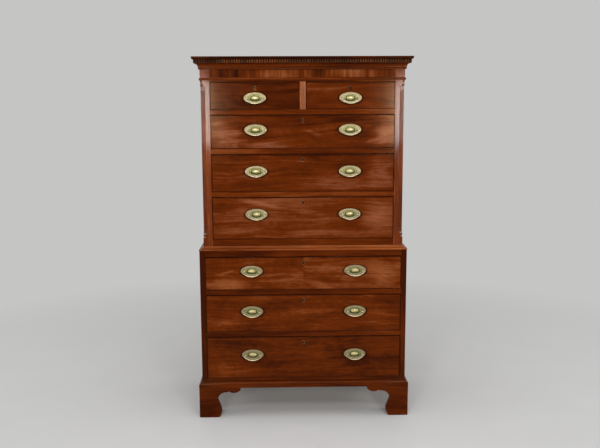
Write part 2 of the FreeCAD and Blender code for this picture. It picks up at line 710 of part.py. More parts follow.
def bails(hole):
    """The bails of one drawer, keyed by the name of their place."""
    shape = bail()
    z = hole.handle_z - POST_DROP
    places = ("",) if len(hole.handle_xs) == 1 else ("_left", "_right")
    return {f"bail_{hole.name}{place}": shape.translated(V(x, hole.front - PIVOT_REACH, z))
            for place, x in zip(places, hole.handle_xs)}


# ---------------------------------------------------------------- assembly
def carcass_nodes(lower, upper):
    """The nodes of the two cases and their mouldings."""
    return {
        "lower_sides": lower_sides(),
        "lower_rails": lower_rails(lower),
        "lower_inner_work": lower_case_boards() + lower_running_gear(lower),
        "base_moulding": base_moulding(),
        "front_feet": front_feet(),
        "back_feet": back_feet(),
        "waist_moulding": waist_moulding(),
        "upper_sides": upper_sides(),
        "upper_corner_posts": corner_posts(),
        "upper_rails": upper_rails(upper),
        "upper_inner_work": upper_case_boards() + upper_running_gear(upper),
        "cornice": cornice(),
        "dentil_course": dentil_course(),
    }


def drawer_nodes(hole):
    """The nodes of one drawer."""
    brass = [handle_plate(x, hole) for x in hole.handle_xs] + [lock_case(hole)]
    nodes = {
        f"front_{hole.name}": drawer_front(hole),
        f"box_{hole.name}": drawer_box(hole),
        f"brass_{hole.name}": brass,
        f"bolt_{hole.name}": [lock_bolt(hole)],
    }
    nodes.update({name: [shape] for name, shape in bails(hole).items()})
    return nodes


def main():
    os.makedirs("parts", exist_ok=True)
    holes = openings()
    lower = [hole for hole in holes if hole.name.startswith("lower")]
    upper = [hole for hole in holes if hole not in lower]
    nodes = carcass_nodes(lower, upper)
    for hole in holes:
        nodes.update(drawer_nodes(hole))
    for name, shapes in nodes.items():
        shape = shapes[0] if len(shapes) == 1 else Part.makeCompound(shapes)
        shape.exportStep(f"parts/{name}.step")
    print(len(nodes), "nodes, height", HEIGHT)


main()
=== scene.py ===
"""Dresses the chest on chest: mahogany, cockbeads, mouldings, brass handles, locks, light and camera."""

import logging
import math
from dataclasses import dataclass, field, replace
from enum import Enum
from typing import Callable, Iterable, Optional, Sequence, Union

import bmesh
import bpy
import numpy as np
from bpy.types import Material, Mesh, Node, NodeSocket, NodeTree, Object
from mathutils import Matrix, Vector


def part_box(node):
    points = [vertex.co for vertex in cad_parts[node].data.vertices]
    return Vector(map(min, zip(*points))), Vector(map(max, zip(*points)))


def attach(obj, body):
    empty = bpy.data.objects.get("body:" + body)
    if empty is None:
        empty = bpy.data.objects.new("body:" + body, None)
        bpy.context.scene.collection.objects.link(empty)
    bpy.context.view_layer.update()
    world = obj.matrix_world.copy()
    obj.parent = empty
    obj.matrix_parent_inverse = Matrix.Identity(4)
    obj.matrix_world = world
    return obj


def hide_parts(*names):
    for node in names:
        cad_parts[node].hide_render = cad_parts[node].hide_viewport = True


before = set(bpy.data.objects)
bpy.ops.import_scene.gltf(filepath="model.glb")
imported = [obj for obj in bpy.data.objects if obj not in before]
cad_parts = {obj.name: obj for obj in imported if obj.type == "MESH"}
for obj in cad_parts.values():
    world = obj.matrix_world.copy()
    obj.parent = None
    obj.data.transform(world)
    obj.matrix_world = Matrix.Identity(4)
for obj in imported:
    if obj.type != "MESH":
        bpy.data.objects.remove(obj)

LOG = logging.getLogger("chest")
MM = 0.001
Colour = tuple[float, float, float]
Value = Union[float, Sequence[float], NodeSocket]
SURROUND: Colour = (0.56, 0.56, 0.555)
POLISH: Colour = (1.0, 0.66, 0.36)      # old shellac warms what it mirrors
CLEAR: Colour = (1.0, 0.86, 0.78)       # where it is rubbed thin it mirrors more truly
PORE: Colour = (0.020, 0.0045, 0.0014)
CORNER_SHADE: Colour = (0.010, 0.0022, 0.0006)  # painted shade in corners, inside the beads and round the plates, with the polish and dust that collect there
MUNTIN = 5                              # its place among the solids of the upper rails
DENTIL_GROUND = 3                       # solids of the strip behind the dentils, which come first
BACKBOARDS = range(2, 6)                # their places among the solids of a case's inner work
BEADS = 4                               # solids of the cockbead, which come last in a drawer front
CRISP = 25.0                            # joinery keeps its edges where faces turn by more degrees


class Grain(Enum):
    """Which way the grain of a piece of wood runs."""

    ALONG_X = "along the width"
    ALONG_Y = "along the depth"
    UPRIGHT = "up and down"
    ALONG_RUN = "along a moulding, by its UV map"


# ------------------------------------------------------------------ meshes
def wrapped_quads(rows: int, columns: int, close_rows: bool, close_columns: bool) -> tuple[np.ndarray, ...]:
    """Quads of a grid of points, as indices of their corners.

    Args:
        rows, columns: size of the grid.
        close_rows, close_columns: whether the last row or column joins the first.

    Returns:
        The corner indices (n, 4), and for each corner its unwrapped row and column.
    """
    i, j = np.meshgrid(np.arange(rows if close_rows else rows - 1),
                       np.arange(columns if close_columns else columns - 1), indexing="ij")
    row = np.stack([i, i + 1, i + 1, i], -1).reshape(-1, 4)
    column = np.stack([j, j, j + 1, j + 1], -1).reshape(-1, 4)
    return (row % rows) * columns + column % columns, row, column


@dataclass
class Shape:
    """A mesh that is built from grids and flat polygons before it becomes one object."""

    points: list[np.ndarray] = field(default_factory=list)
    corners: list[np.ndarray] = field(default_factory=list)
    sizes: list[np.ndarray] = field(default_factory=list)
    maps: list[np.ndarray] = field(default_factory=list)
    depths: list[np.ndarray] = field(default_factory=list)
    count: int = 0

    def add(self, points: np.ndarray, faces: np.ndarray, sizes: np.ndarray, uv: Optional[np.ndarray] = None,
            depth: Optional[np.ndarray] = None) -> None:
        """Adds a block of points and faces.

        Args:
            points: (n, 3).
            faces: the corners of every face in one row, as indices of points.
            sizes: how many corners each face has.
            uv: a place on the map for each corner.
            depth: share of how far each point lies in a hollow.
        """
        self.points.append(points)
        self.corners.append(faces + self.count)
        self.sizes.append(sizes)
        self.maps.append(np.zeros((len(faces), 2)) if uv is None else uv)
        self.depths.append(np.zeros(len(points)) if depth is None else depth)
        self.count += len(points)

    def grid(self, points: np.ndarray, close_rows: bool = False, close_columns: bool = False,
             uv: Optional[np.ndarray] = None, depth: Optional[np.ndarray] = None,
             cap_rows: bool = False) -> "Shape":
        """Adds a grid of points.

        Args:
            points: (rows, columns, 3).
            close_rows, close_columns: whether the ends join.
            uv: (rows + 1, columns + 1, 2) map of the grid, one wider each way than a closed grid.
            depth: (rows, columns) share of how far a point lies in a hollow.
            cap_rows: closes the first and last row with a flat face.

        Returns:
            The shape itself.
        """
        rows, columns = points.shape[:2]
        quads, row, column = wrapped_quads(rows, columns, close_rows, close_columns)
        faces, sizes = [quads.ravel()], [np.full(len(quads), 4)]
        if cap_rows:
            first = np.arange(columns)
            faces += [first, first[::-1] + (rows - 1) * columns]
            sizes.append(np.array([columns, columns]))
        if uv is not None:
            spare = np.zeros((2 * columns if cap_rows else 0, 2))
            uv = np.vstack([uv[row, column].reshape(-1, 2), spare])
        self.add(points.reshape(-1, 3), np.concatenate(faces), np.concatenate(sizes), uv,
                 None if depth is None else depth.ravel())
        return self

    def prism(self, near: np.ndarray, far: np.ndarray) -> "Shape":
        """Adds a block between two outlines (n, 3) with the same number of points."""
        return self.grid(np.stack([near, far]), close_columns=True, cap_rows=True)

    def merged(self, other: "Shape", offset: Sequence[float]) -> "Shape":
        """Adds a copy of another shape.

        Args:
            other: a shape of one block, as single() and one call of grid() leave it.
            offset: how far the copy is moved.

        Returns:
            The shape itself.
        """
        self.add(other.points[0] + np.array(offset), other.corners[0], other.sizes[0], other.maps[0],
                 other.depths[0])
        return self

    def single(self) -> "Shape":
        """Gathers the shape.

        Returns:
            The same shape as one block, ready to be merged into others.
        """
        whole = Shape()
        whole.add(np.vstack(self.points), np.concatenate(self.corners), np.concatenate(self.sizes),
                  np.vstack(self.maps), np.concatenate(self.depths))
        return whole

    def mesh(self, name: str, sharp: float = 35.0) -> Mesh:
        """Makes the mesh.

        Args:
            name: its name.
            sharp: it is shaded smooth except at edges sharper than this, in degrees.

        Returns:
            The mesh, with its UV map run and its attribute hollow.
        """
        points = np.vstack(self.points).astype(np.float32)
        corners = np.concatenate(self.corners).astype(np.int32)
        sizes = np.concatenate(self.sizes).astype(np.int32)
        made = bpy.data.meshes.new(name)
        made.vertices.add(len(points))
        made.vertices.foreach_set("co", points.ravel())
        made.loops.add(len(corners))
        made.loops.foreach_set("vertex_index", corners)
        made.polygons.add(len(sizes))
        made.polygons.foreach_set("loop_start", (np.cumsum(sizes) - sizes).astype(np.int32))
        made.polygons.foreach_set("loop_total", sizes)
        made.uv_layers.new(name="run").data.foreach_set("uv", np.vstack(self.maps).astype(np.float32).ravel())
        made.update(calc_edges=True)
        hollow = made.attributes.new("hollow", "FLOAT", "POINT")
        hollow.data.foreach_set("value", np.concatenate(self.depths).astype(np.float32))
        made.validate()
        smooth(made, sharp)
        return made

    def closed_mesh(self, name: str, sharp: float = 35.0) -> Mesh:
        """Makes the mesh of a closed shape.

        Args:
            name, sharp: as for mesh.

        Returns:
            The mesh, with its faces turned outwards.
        """
        made = self.mesh(name, sharp)
        work = bmesh_of(made)
        bmesh.ops.recalc_face_normals(work, faces=work.faces)
        work.to_mesh(made)
        work.free()
        return made


def smooth(mesh: Mesh, sharp: float) -> None:
    """Shades a mesh smooth, with its edges sharper than sharp degrees kept crisp."""
    mesh.polygons.foreach_set("use_smooth", np.ones(len(mesh.polygons), bool))
    mesh.set_sharp_from_angle(angle=math.radians(sharp))


def placed(name: str, data: bpy.types.ID) -> Object:
    """Puts something in the scene.

    Args:
        name: the object's name.
        data: the mesh, lamp or camera that it shows.

    Returns:
        The object.
    """
    made = bpy.data.objects.new(name, data)
    bpy.context.scene.collection.objects.link(made)
    return made


def piece(name: str, mesh: Mesh, body: str, material: Material,
          stands_for: Sequence[str] = ()) -> Object:
    """Makes an object of a mesh, dresses it and lets it ride on a body.

    Args:
        name: the piece's name.
        mesh: its mesh, in place.
        body: the body that it moves with.
        material: its finish.
        stands_for: the CAD nodes that it replaces.

    Returns:
        The object.
    """
    made = placed(name, mesh)
    mesh.materials.clear()
    mesh.materials.append(material)
    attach(made, body)
    if stands_for:
        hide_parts(*stands_for)
    LOG.info("%s: %d faces on %s", name, len(mesh.polygons), body)
    return made


def eased(made: Object, width: float) -> Object:
    """Rounds a piece's arrises a little, as a plane and finishing leave them.

    Args:
        made: the piece.
        width: how far in from an arris the rounding starts, in metres.

    Returns:
        The piece itself.
    """
    bevel = made.modifiers.new("eased", "BEVEL")
    bevel.width = width
    bevel.segments = 2
    bevel.limit_method = "ANGLE"
    bevel.angle_limit = math.radians(40)
    bevel.use_clamp_overlap = True
    return made


def solids_of(node: str) -> tuple[np.ndarray, np.ndarray, np.ndarray]:
    """Triangles of a CAD node, told apart by the closed solid that each belongs to.

    A solid's triangles follow one another. Every edge gets a random number, counted up one way along it and
    down the other way, so the running total comes back to nothing exactly where a solid closes.

    Args:
        node: the CAD node.

    Returns:
        Points (v, 3), triangles (t, 3) and the number of the solid of each triangle.
    """
    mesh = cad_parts[node].data
    raw = np.zeros(len(mesh.vertices) * 3, np.float32)
    mesh.vertices.foreach_get("co", raw)
    points, index = np.unique(np.round(raw.reshape(-1, 3), 6), axis=0, return_inverse=True)
    loops = np.zeros(len(mesh.loops), np.int32)
    mesh.loops.foreach_get("vertex_index", loops)
    triangles = index.ravel()[loops].reshape(-1, 3)
    start, end = triangles, np.roll(triangles, -1, axis=1)
    low, high = np.minimum(start, end), np.maximum(start, end)
    _, edge = np.unique(np.stack([low.ravel(), high.ravel()], -1), axis=0, return_inverse=True)
    weight = np.random.default_rng(7).integers(1, 2 ** 40, edge.max() + 1)[edge.ravel()].reshape(-1, 3)
    total = np.cumsum((weight * np.where(start < end, 1, -1)).sum(1))
    closed = total == 0
    return points, triangles, np.concatenate([[0], np.cumsum(closed)[:-1]])


def copy_of(node: str, keep: Callable[[int, int], bool] = lambda i, n: True) -> Mesh:
    """Clean copy of a CAD node's mesh with flat faces joined up.

    Args:
        node: the CAD node.
        keep: says of solid i of n whether it stays.

    Returns:
        A mesh whose solids are closed and stay apart.
    """
    points, triangles, solid = solids_of(node)
    count = solid.max() + 1
    kept = np.array([keep(i, count) for i in range(count)])[solid]
    triangles, solid = triangles[kept], solid[kept]
    pairs = np.stack([np.repeat(solid, 3), triangles.ravel()], -1)
    used, faces = np.unique(pairs, axis=0, return_inverse=True)
    made = bpy.data.meshes.new(node + "_copy")
    made.from_pydata(points[used[:, 1]], [], faces.reshape(-1, 3))
    work = bmesh_of(made)
    bmesh.ops.dissolve_limit(work, angle_limit=0.01, verts=work.verts, edges=work.edges)
    work.to_mesh(made)
    work.free()
    made.validate()
    return made


def bmesh_of(mesh: Mesh) -> bmesh.types.BMesh:
    """Opens a mesh for editing.

    Args:
        mesh: the mesh.

    Returns:
        A bmesh filled from it.
    """
    work = bmesh.new()
    work.from_mesh(mesh)
    return work


def carved(mesh: Mesh, cutter: Mesh) -> Mesh:
    """Cuts one mesh out of another.

    Args:
        mesh: the mesh that is cut.
        cutter: the closed mesh that is taken away.

    Returns:
        What is left.
    """
    body, tool = placed("body", mesh), placed("tool", cutter)
    cut = body.modifiers.new("cut", "BOOLEAN")
    cut.operation = "DIFFERENCE"
    cut.solver = "EXACT"
    cut.object = tool
    left = bpy.data.meshes.new_from_object(body.evaluated_get(bpy.context.evaluated_depsgraph_get()))
    for made in (body, tool):
        bpy.data.objects.remove(made)
    return left


def round_arc(centre: Sequence[float], radius: float, start: float, end: float, count: int) -> np.ndarray:
    """Points of an arc, from angle start to end in degrees: centre plus radius times (cosine, sine)."""
    turn = np.radians(np.linspace(start, end, count))
    return np.column_stack([centre[0] + radius * np.cos(turn), centre[1] + radius * np.sin(turn)])


def arc_through(a: Sequence[float], b: Sequence[float], c: Sequence[float], count: int = 9) -> np.ndarray:
    """Points of a circle's arc through three places.

    The centre is where the upright bisectors of a-b and b-c meet, and the angle runs the way that passes b.

    Args:
        a, b, c: start, a place on the way, and end.
        count: the points, with the start.

    Returns:
        The points (count - 1, 2), without the start itself.
    """
    a, b, c = (np.array(p, float) for p in (a, b, c))
    matrix = 2 * np.array([b - a, c - b])
    centre = np.linalg.solve(matrix, np.array([b @ b - a @ a, c @ c - b @ b]))
    start, through, end = (math.atan2(*(p - centre)[::-1]) for p in (a, b, c))
    sweep = (end - start) % (2 * math.pi)
    if (through - start) % (2 * math.pi) > sweep:
        sweep -= 2 * math.pi
    turn = start + sweep * np.linspace(0, 1, count)[1:]
    return centre + np.linalg.norm(a - centre) * np.column_stack([np.cos(turn), np.sin(turn)])


def run_of(points: np.ndarray) -> np.ndarray:
    """How far along a closed outline each of its points lies, and last its whole length."""
    step = np.linalg.norm(np.diff(points, axis=0, append=points[:1]), axis=1)
    return np.concatenate([[0.0], np.cumsum(step)])


def outline(*steps: Union[Sequence[float], tuple]) -> np.ndarray:
    """Works out the points of a closed outline.

    Args:
        steps: each is a point, or a pair (point on an arc, end of the arc). The first is a point.

    Returns:
        The points (n, 2).
    """
    points = [np.array([steps[0]], float)]
    for step in steps[1:]:
        if isinstance(step[0], (tuple, list)):
            points.append(arc_through(points[-1][-1], step[0], step[1]))
        else:
            points.append(np.array([step], float))
    return np.vstack(points)


# ------------------------------------------------------------------ materials
class Tree:
    """A node tree while it is laid out."""

    def __init__(self, tree: NodeTree) -> None:
        """Starts with an empty tree."""
        self.tree = tree
        tree.nodes.clear()

    def node(self, kind: str, settings: Optional[dict[str, object]] = None, **inputs: Value) -> Node:
        """Adds a node.

        Args:
            kind: the node's type.
            settings: its properties.
            inputs: a value or a link for each input, named with _ for a space.

        Returns:
            The node.
        """
        made = self.tree.nodes.new(kind)
        for key, setting in (settings or {}).items():
            setattr(made, key, setting)
        return self.fill(made, **inputs)

    def fill(self, node: Node, **inputs: Value) -> Node:
        """Fills some inputs of a node.

        Args:
            node: the node.
            inputs: as for node.

        Returns:
            The node.
        """
        for key, value in inputs.items():
            self.put(node.inputs[key.replace("_", " ")], value)
        return node

    def put(self, socket: NodeSocket, value: Value) -> None:
        """Fills a socket.

        Args:
            socket: the socket.
            value: its value, a colour without its alpha, or another socket to link to it.
        """
        if isinstance(value, NodeSocket):
            self.tree.links.new(value, socket)
        elif isinstance(value, (tuple, list)) and len(value) == 3 and len(socket.default_value) == 4:
            socket.default_value = (*value, 1.0)
        else:
            socket.default_value = value

    def math(self, operation: str, *values: Value, clamp: bool = False) -> NodeSocket:
        """Works a number out from others.

        Args:
            operation: the math node's operation.
            values: the numbers.
            clamp: holds the result between 0 and 1.

        Returns:
            The result.
        """
        made = self.node("ShaderNodeMath", {"operation": operation, "use_clamp": clamp})
        for socket, value in zip(made.inputs, values):
            self.put(socket, value)
        return made.outputs[0]

    def plus(self, first: Value, second: Value, clamp: bool = False) -> NodeSocket:
        """The sum of two numbers."""
        return self.math("ADD", first, second, clamp=clamp)

    def minus(self, first: Value, second: Value, clamp: bool = False) -> NodeSocket:
        """The first number less the second."""
        return self.math("SUBTRACT", first, second, clamp=clamp)

    def times(self, first: Value, second: Value) -> NodeSocket:
        """The product of two numbers."""
        return self.math("MULTIPLY", first, second)

    def swing(self, value: NodeSocket, weight: float, middle: float = 0.5) -> NodeSocket:
        """How far a value is from its middle, times a weight."""
        return self.times(self.minus(value, middle), weight)

    def place(self) -> NodeSocket:
        """Place on the object, in metres."""
        return self.node("ShaderNodeTexCoord").outputs["Object"]

    def parts(self, vector: NodeSocket) -> Sequence[NodeSocket]:
        """The three numbers of a vector."""
        return self.node("ShaderNodeSeparateXYZ", Vector=vector).outputs

    def vector(self, x: Value, y: Value, z: Value) -> NodeSocket:
        """A vector made of three numbers."""
        return self.node("ShaderNodeCombineXYZ", X=x, Y=y, Z=z).outputs[0]

    def length(self, vector: NodeSocket) -> NodeSocket:
        """How long a vector is."""
        return self.node("ShaderNodeVectorMath", {"operation": "LENGTH"}, Vector=vector).outputs["Value"]

    def mix(self, share: Value, first: Value, second: Value, blend: str = "MIX") -> NodeSocket:
        """Makes a colour of two others.

        Args:
            share: how much of the second there is.
            first, second: the colours.
            blend: how the second goes over the first.

        Returns:
            The colour.
        """
        made = self.node("ShaderNodeMix", {"data_type": "RGBA", "blend_type": blend})
        for index, value in ((0, share), (6, first), (7, second)):
            self.put(made.inputs[index], value)
        return made.outputs[2]

    def ramp(self, share: NodeSocket, *stops: tuple[float, Colour]) -> NodeSocket:
        """Reads a colour off a row of stops.

        Args:
            share: the place in the row, 0 to 1.
            stops: (place, colour) each.

        Returns:
            The colour.
        """
        made = self.node("ShaderNodeValToRGB", Fac=share)
        elements = made.color_ramp.elements
        while len(elements) < len(stops):
            elements.new(0.5)
        for element, (place, colour) in zip(elements, stops):
            element.position = place
            element.color = (*colour, 1.0)
        return made.outputs[0]

    def level(self, value: NodeSocket, low: float, high: float, to_low: float = 0.0, to_high: float = 1.0,
              soft: bool = False) -> NodeSocket:
        """Stretches a value from one range to another.

        Args:
            value: the value.
            low, high: the range that it comes from.
            to_low, to_high: the range that it goes to and never leaves.
            soft: eases it in and out at both ends.

        Returns:
            The stretched value.
        """
        settings = {"interpolation_type": "SMOOTHSTEP" if soft else "LINEAR"}
        return self.node("ShaderNodeMapRange", settings, Value=value, From_Min=low, From_Max=high,
                         To_Min=to_low, To_Max=to_high).outputs[0]

    def noise(self, vector: NodeSocket, scale: Sequence[float], detail: float = 3.0, rough: float = 0.55,
              distort: float = 0.0, shift: Sequence[float] = (0, 0, 0)) -> NodeSocket:
        """Lays out noise that is stretched along its axes.

        Args:
            vector: the place that it is read at.
            scale: how fine it is along each axis.
            detail, rough, distort: the noise node's own settings.
            shift: moves it, so that two noises differ.

        Returns:
            The noise, about 0.5 in the mean.
        """
        spot = self.node("ShaderNodeMapping", Vector=vector, Location=shift, Scale=scale).outputs[0]
        return self.node("ShaderNodeTexNoise", Vector=spot, Scale=1.0, Detail=detail, Roughness=rough,
                         Distortion=distort).outputs["Fac"]

    def oval(self, place: NodeSocket, x: float, z: float, wide: float, high: float,
             tilt: float = 0.0) -> tuple[NodeSocket, NodeSocket]:
        """Measures places from the middle of an oval in X and Z.

        Args:
            place: the place.
            x, z: the oval's middle.
            wide, high: its half width and half height.
            tilt: how far it is turned about its middle.

        Returns:
            The place on the oval's own axes, and its distance: nothing in the middle and one on the line.
        """
        near = self.node("ShaderNodeMapping", {"vector_type": "TEXTURE"}, Vector=place,
                         Location=(x, 0.0, z), Rotation=(0.0, tilt, 0.0), Scale=(wide, 1e3, high)).outputs[0]
        return near, self.length(near)

    def boards(self, along: NodeSocket, joint: float) -> tuple[NodeSocket, NodeSocket]:
        """Tells boards apart that lie side by side.

        Args:
            along: place across the boards, in boards.
            joint: half the width of a joint, as a share of a board.

        Returns:
            A random number for each board, and one where there is a joint and nothing elsewhere.
        """
        pick = self.node("ShaderNodeTexWhiteNoise", {"noise_dimensions": "1D"}, W=self.math("FLOOR", along))
        within = self.math("FRACT", along)
        edge = self.math("MINIMUM", within, self.minus(1.0, within))
        return pick.outputs["Value"], self.math("LESS_THAN", edge, joint)


class Paint(Tree):
    """The node tree of one material."""

    def __init__(self, name: str) -> None:
        """Starts a material with one Principled shader.

        Args:
            name: the material's name.
        """
        self.material = bpy.data.materials.new(name)
        self.material.use_nodes = True
        super().__init__(self.material.node_tree)
        self.shader = self.node("ShaderNodeBsdfPrincipled")
        self.output = self.node("ShaderNodeOutputMaterial", Surface=self.shader.outputs["BSDF"])

    def grain_space(self, grain: Grain) -> NodeSocket:
        """Turns places on the piece so that their first value runs along the grain.

        Args:
            grain: which way the grain runs.

        Returns:
            The turned place. Along a run, it is worked out from the UV map.
        """
        if grain is Grain.ALONG_RUN:
            along, across, _ = self.run_map()
            return self.vector(along, 0.37, across)
        place = self.place()
        if grain is Grain.ALONG_X:
            return place
        parts = self.parts(place)
        order = (1, 0, 2) if grain is Grain.ALONG_Y else (2, 1, 0)
        return self.vector(*(parts[i] for i in order))

    def run_map(self) -> Sequence[NodeSocket]:
        """The two values of the piece's own UV map, which are nothing on a piece without one."""
        return self.parts(self.node("ShaderNodeUVMap", {"uv_map": "run"}).outputs[0])

    def crevice(self, reach: float) -> NodeSocket:
        """How shut in a place is: nothing in the open and one deep in a corner, by rays as long as reach."""
        made = self.node("ShaderNodeAmbientOcclusion", {"samples": 8}, Distance=reach)
        return self.level(made.outputs["AO"], 0.30, 0.92, 1.0, 0.0)

    def corner_shaded(self, colour: NodeSocket) -> NodeSocket:
        """A colour darkened in its corners: painted shade, with the polish and dust that collect there."""
        return self.mix(self.times(self.crevice(0.007), 0.8), colour, CORNER_SHADE)

    def finish(self, **inputs: Value) -> Material:
        """Fills the shader's inputs and hands over the material."""
        self.fill(self.shader, **inputs)
        return self.material

    def bump(self, height: NodeSocket, distance: float, strength: float = 1.0) -> NodeSocket:
        """A normal tilted by a height."""
        made = self.node("ShaderNodeBump", Height=height, Strength=strength, Distance=distance)
        return made.outputs[0]


@dataclass(frozen=True)
class Bloom:
    """A lighter or darker cloud in a veneer, also used for painted shade and sheen: place, size and strength,
    below nothing for a dark one.

    Tilt turns it about its middle, and comb is the strength of the fine streaks that run along it.
    """

    x: float
    z: float
    wide: float
    high: float
    gain: float
    tilt: float = 0.0
    comb: float = 0.0


@dataclass(frozen=True)
class Mahogany:
    """French-polished mahogany with streaks along the grain and a flame figure across it.

    Where joint is given, the veneer is laid in two leaves that meet there, the right one lighter by step and
    cut from other_leaf further up the log. Clouding is how far the tone drifts over a hand's breadth.
    Where panel is given, as left, right, low and high, painted shade darkens the front along those edges
    inside the bead, and a painted shadow lies round each oval plate whose middle is given, as x and z. Strips
    are the shade's widths at the sides, the foot and the top. Plate is the half width and half height of an
    oval, and the field after it is how far the painted shadow ring is moved down from the plate.
    """

    name: str
    grain: Grain = Grain.ALONG_X
    tone: float = 0.0
    figure: float = 1.0
    tilt: float = 0.0
    seed: float = 0.0
    blooms: tuple[Bloom, ...] = ()
    joint: Optional[float] = None
    step: float = 0.0
    rough: float = 0.08
    gloss: float = 0.11
    polish: Colour = POLISH
    panel: Optional[tuple[float, float, float, float]] = None
    strips: tuple[float, float, float] = (0.0035, 0.0025, 0.0055)
    plates: tuple[tuple[float, float], ...] = ()
    plate: tuple[float, float] = (0.0572, 0.0285)
    sag: float = 0.002
    clouding: float = 1.35
    other_leaf: float = 1.9
    dark: Colour = (0.040, 0.0046, 0.0003)
    middle: Colour = (0.117, 0.0180, 0.0010)
    light: Colour = (0.28, 0.070, 0.0160)

    def tone_field(self, paint: Paint, place: NodeSocket) -> tuple[NodeSocket, NodeSocket]:
        """Works out how light the wood is: noises of several sizes along the grain, plus the blooms.

        Args:
            paint: the node tree.
            place: places with the grain along X.

        Returns:
            The tone, 0 to 1, and the fine bands of the grain on their own.
        """
        base: Value = 0.5 + self.tone
        source = place
        if self.joint is not None:
            x, y, z = paint.parts(place)
            beyond = paint.math("GREATER_THAN", x, self.joint)
            base = paint.plus(paint.times(beyond, self.step), base)
            source = paint.vector(x, y, paint.plus(z, paint.times(beyond, self.other_leaf)))
        start = paint.node("ShaderNodeMapping", Vector=source, Rotation=(0.0, self.tilt, 0.0),
                           Location=(self.seed, self.seed * 0.7, self.seed * 0.31)).outputs[0]
        sway = paint.noise(start, (1.7, 2.0, 3.6), 2.0)
        bent = paint.node("ShaderNodeVectorMath", Vector=start)
        paint.put(bent.inputs[1], paint.vector(0.0, 0.0, paint.swing(sway, 0.11)))
        path = bent.outputs[0]
        cloud = paint.noise(path, (2.0, 3.0, 6.0), 2.0, 0.5, 0.3, (4.1, 0, 0))
        streak = paint.noise(path, (1.5, 22.0, 31.0), 6.0, 0.62, 0.35)
        band = paint.noise(path, (3.2, 40.0, 92.0), 4.0, 0.6, 0.2, (0, 3.3, 0))
        flame = paint.noise(path, (8.0, 9.0, 17.0), 3.0, 0.55, 0.7, (0, 0, 8.8))
        mottle = paint.noise(start, (26.0, 30.0, 44.0), 2.0, 0.5, 0.9, (5.5, 0, 0))
        total = paint.swing(cloud, self.clouding)
        for part, weight in ((streak, 0.9), (band, 0.7), (flame, 0.42 * self.figure),
                             (mottle, 0.25 * self.figure)):
            total = paint.plus(total, paint.swing(part, weight))
        for bloom in self.blooms:
            total = paint.plus(total, self.bloom_field(paint, place, flame, bloom))
        return paint.plus(total, base, clamp=True), band

    @staticmethod
    def bloom_field(paint: Paint, place: NodeSocket, ragged: NodeSocket, bloom: Bloom) -> NodeSocket:
        """Lays out one cloud, which fades smoothly with the distance from its middle along its own axes.

        Args:
            paint: the node tree.
            place: places with the grain along X.
            ragged: noise that roughens the cloud's edge.
            bloom: the cloud.

        Returns:
            What it adds to the tone.
        """
        near, far = paint.oval(place, bloom.x, bloom.z, bloom.wide, bloom.high, bloom.tilt)
        soft = paint.level(paint.plus(far, paint.swing(ragged, 1.1)), 1.0, 0.0, soft=True)
        strength: Value = bloom.gain
        if bloom.comb:
            fine = paint.noise(near, (5.0 * bloom.wide, 1.0, 60.0 * bloom.high), 3.0, 0.6, 0.4,
                               (bloom.x * 9.0, 0, 0))
            strength = paint.math("MULTIPLY_ADD", paint.minus(fine, 0.5), 3.0 * bloom.comb, bloom.gain)
        return paint.times(soft, strength)

    def build(self) -> Material:
        """Lays the finish out: colour, pores, a slightly uneven polish and a faint ripple.

        Returns:
            The material.
        """
        paint = Paint(self.name)
        place = paint.grain_space(self.grain)
        tone, band = self.tone_field(paint, place)
        colour = paint.ramp(tone, (0.0, self.dark), (0.46, self.middle), (1.0, self.light))
        fibre = paint.noise(place, (14.0, 300.0, 430.0), 3.0, 0.6, 0.0, (self.seed, 0, 0))
        shade = paint.level(fibre, 0.3, 0.7, 0.80, 1.16)
        colour = paint.mix(1.0, colour, paint.vector(shade, shade, shade), "MULTIPLY")
        pore = paint.noise(place, (75.0, 1300.0, 1500.0), 1.0, 0.5, 0.0, (0, self.seed, 0))
        pits = paint.level(pore, 0.62, 0.72)
        colour = paint.mix(paint.times(pits, 0.55), colour, PORE)
        # painted shade inside the beads, widest under the top one, and a painted shadow round each plate
        if self.panel:
            colour = paint.mix(self.edge_and_plate_shade(paint, place), colour, CORNER_SHADE)
        rough = paint.level(band, 0.3, 0.7, self.rough, self.rough + 0.05)
        height = paint.plus(paint.times(pits, -0.4), paint.times(band, 0.6))
        # corners and crevices are darkened here as painted shade
        return paint.finish(Base_Color=paint.corner_shaded(colour), Roughness=rough, Specular_IOR_Level=self.gloss,
                            Specular_Tint=self.polish, Normal=paint.bump(height, 0.00012, 0.35))

    def edge_and_plate_shade(self, paint: Paint, place: NodeSocket) -> NodeSocket:
        """Works out how much painted shade lies inside each bead and how much painted shadow round each
        plate.

        Along an edge it is the square of how near the edge is, with the widest strip along the top. Round a
        plate it fades out over a fifth of the plate's own size, and it is moved down so the shadow lies
        below.

        Args:
            paint: the node tree.
            place: the place on the front.

        Returns:
            The share of painted shade, 0 to 1.
        """
        left, right, low, high = self.panel
        side, foot, top = self.strips
        parts = paint.parts(place)
        uneven = paint.noise(place, (30.0, 30.0, 30.0), 3.0, 0.6)
        most: Value = 0.0
        for axis, edge, wide in ((0, left, side), (0, right, -side), (2, low, foot), (2, high, -top)):
            inside = paint.math("DIVIDE", paint.minus(parts[axis], edge), wide)
            near = paint.level(inside, 0.0, 1.0, 1.0, 0.0)
            most = paint.math("MAXIMUM", most, paint.math("POWER", near, 2.0))
        most = paint.times(most, paint.level(uneven, 0.3, 0.7, 0.45, 0.95))
        for x, z in self.plates:
            _, far = paint.oval(place, x, z - self.sag, *self.plate)
            ring = paint.level(far, 1.02, 1.26, 1.0, 0.0)
            most = paint.math("MAXIMUM", most, paint.times(ring, paint.level(uneven, 0.3, 0.7, 0.6, 1.0)))
        return most


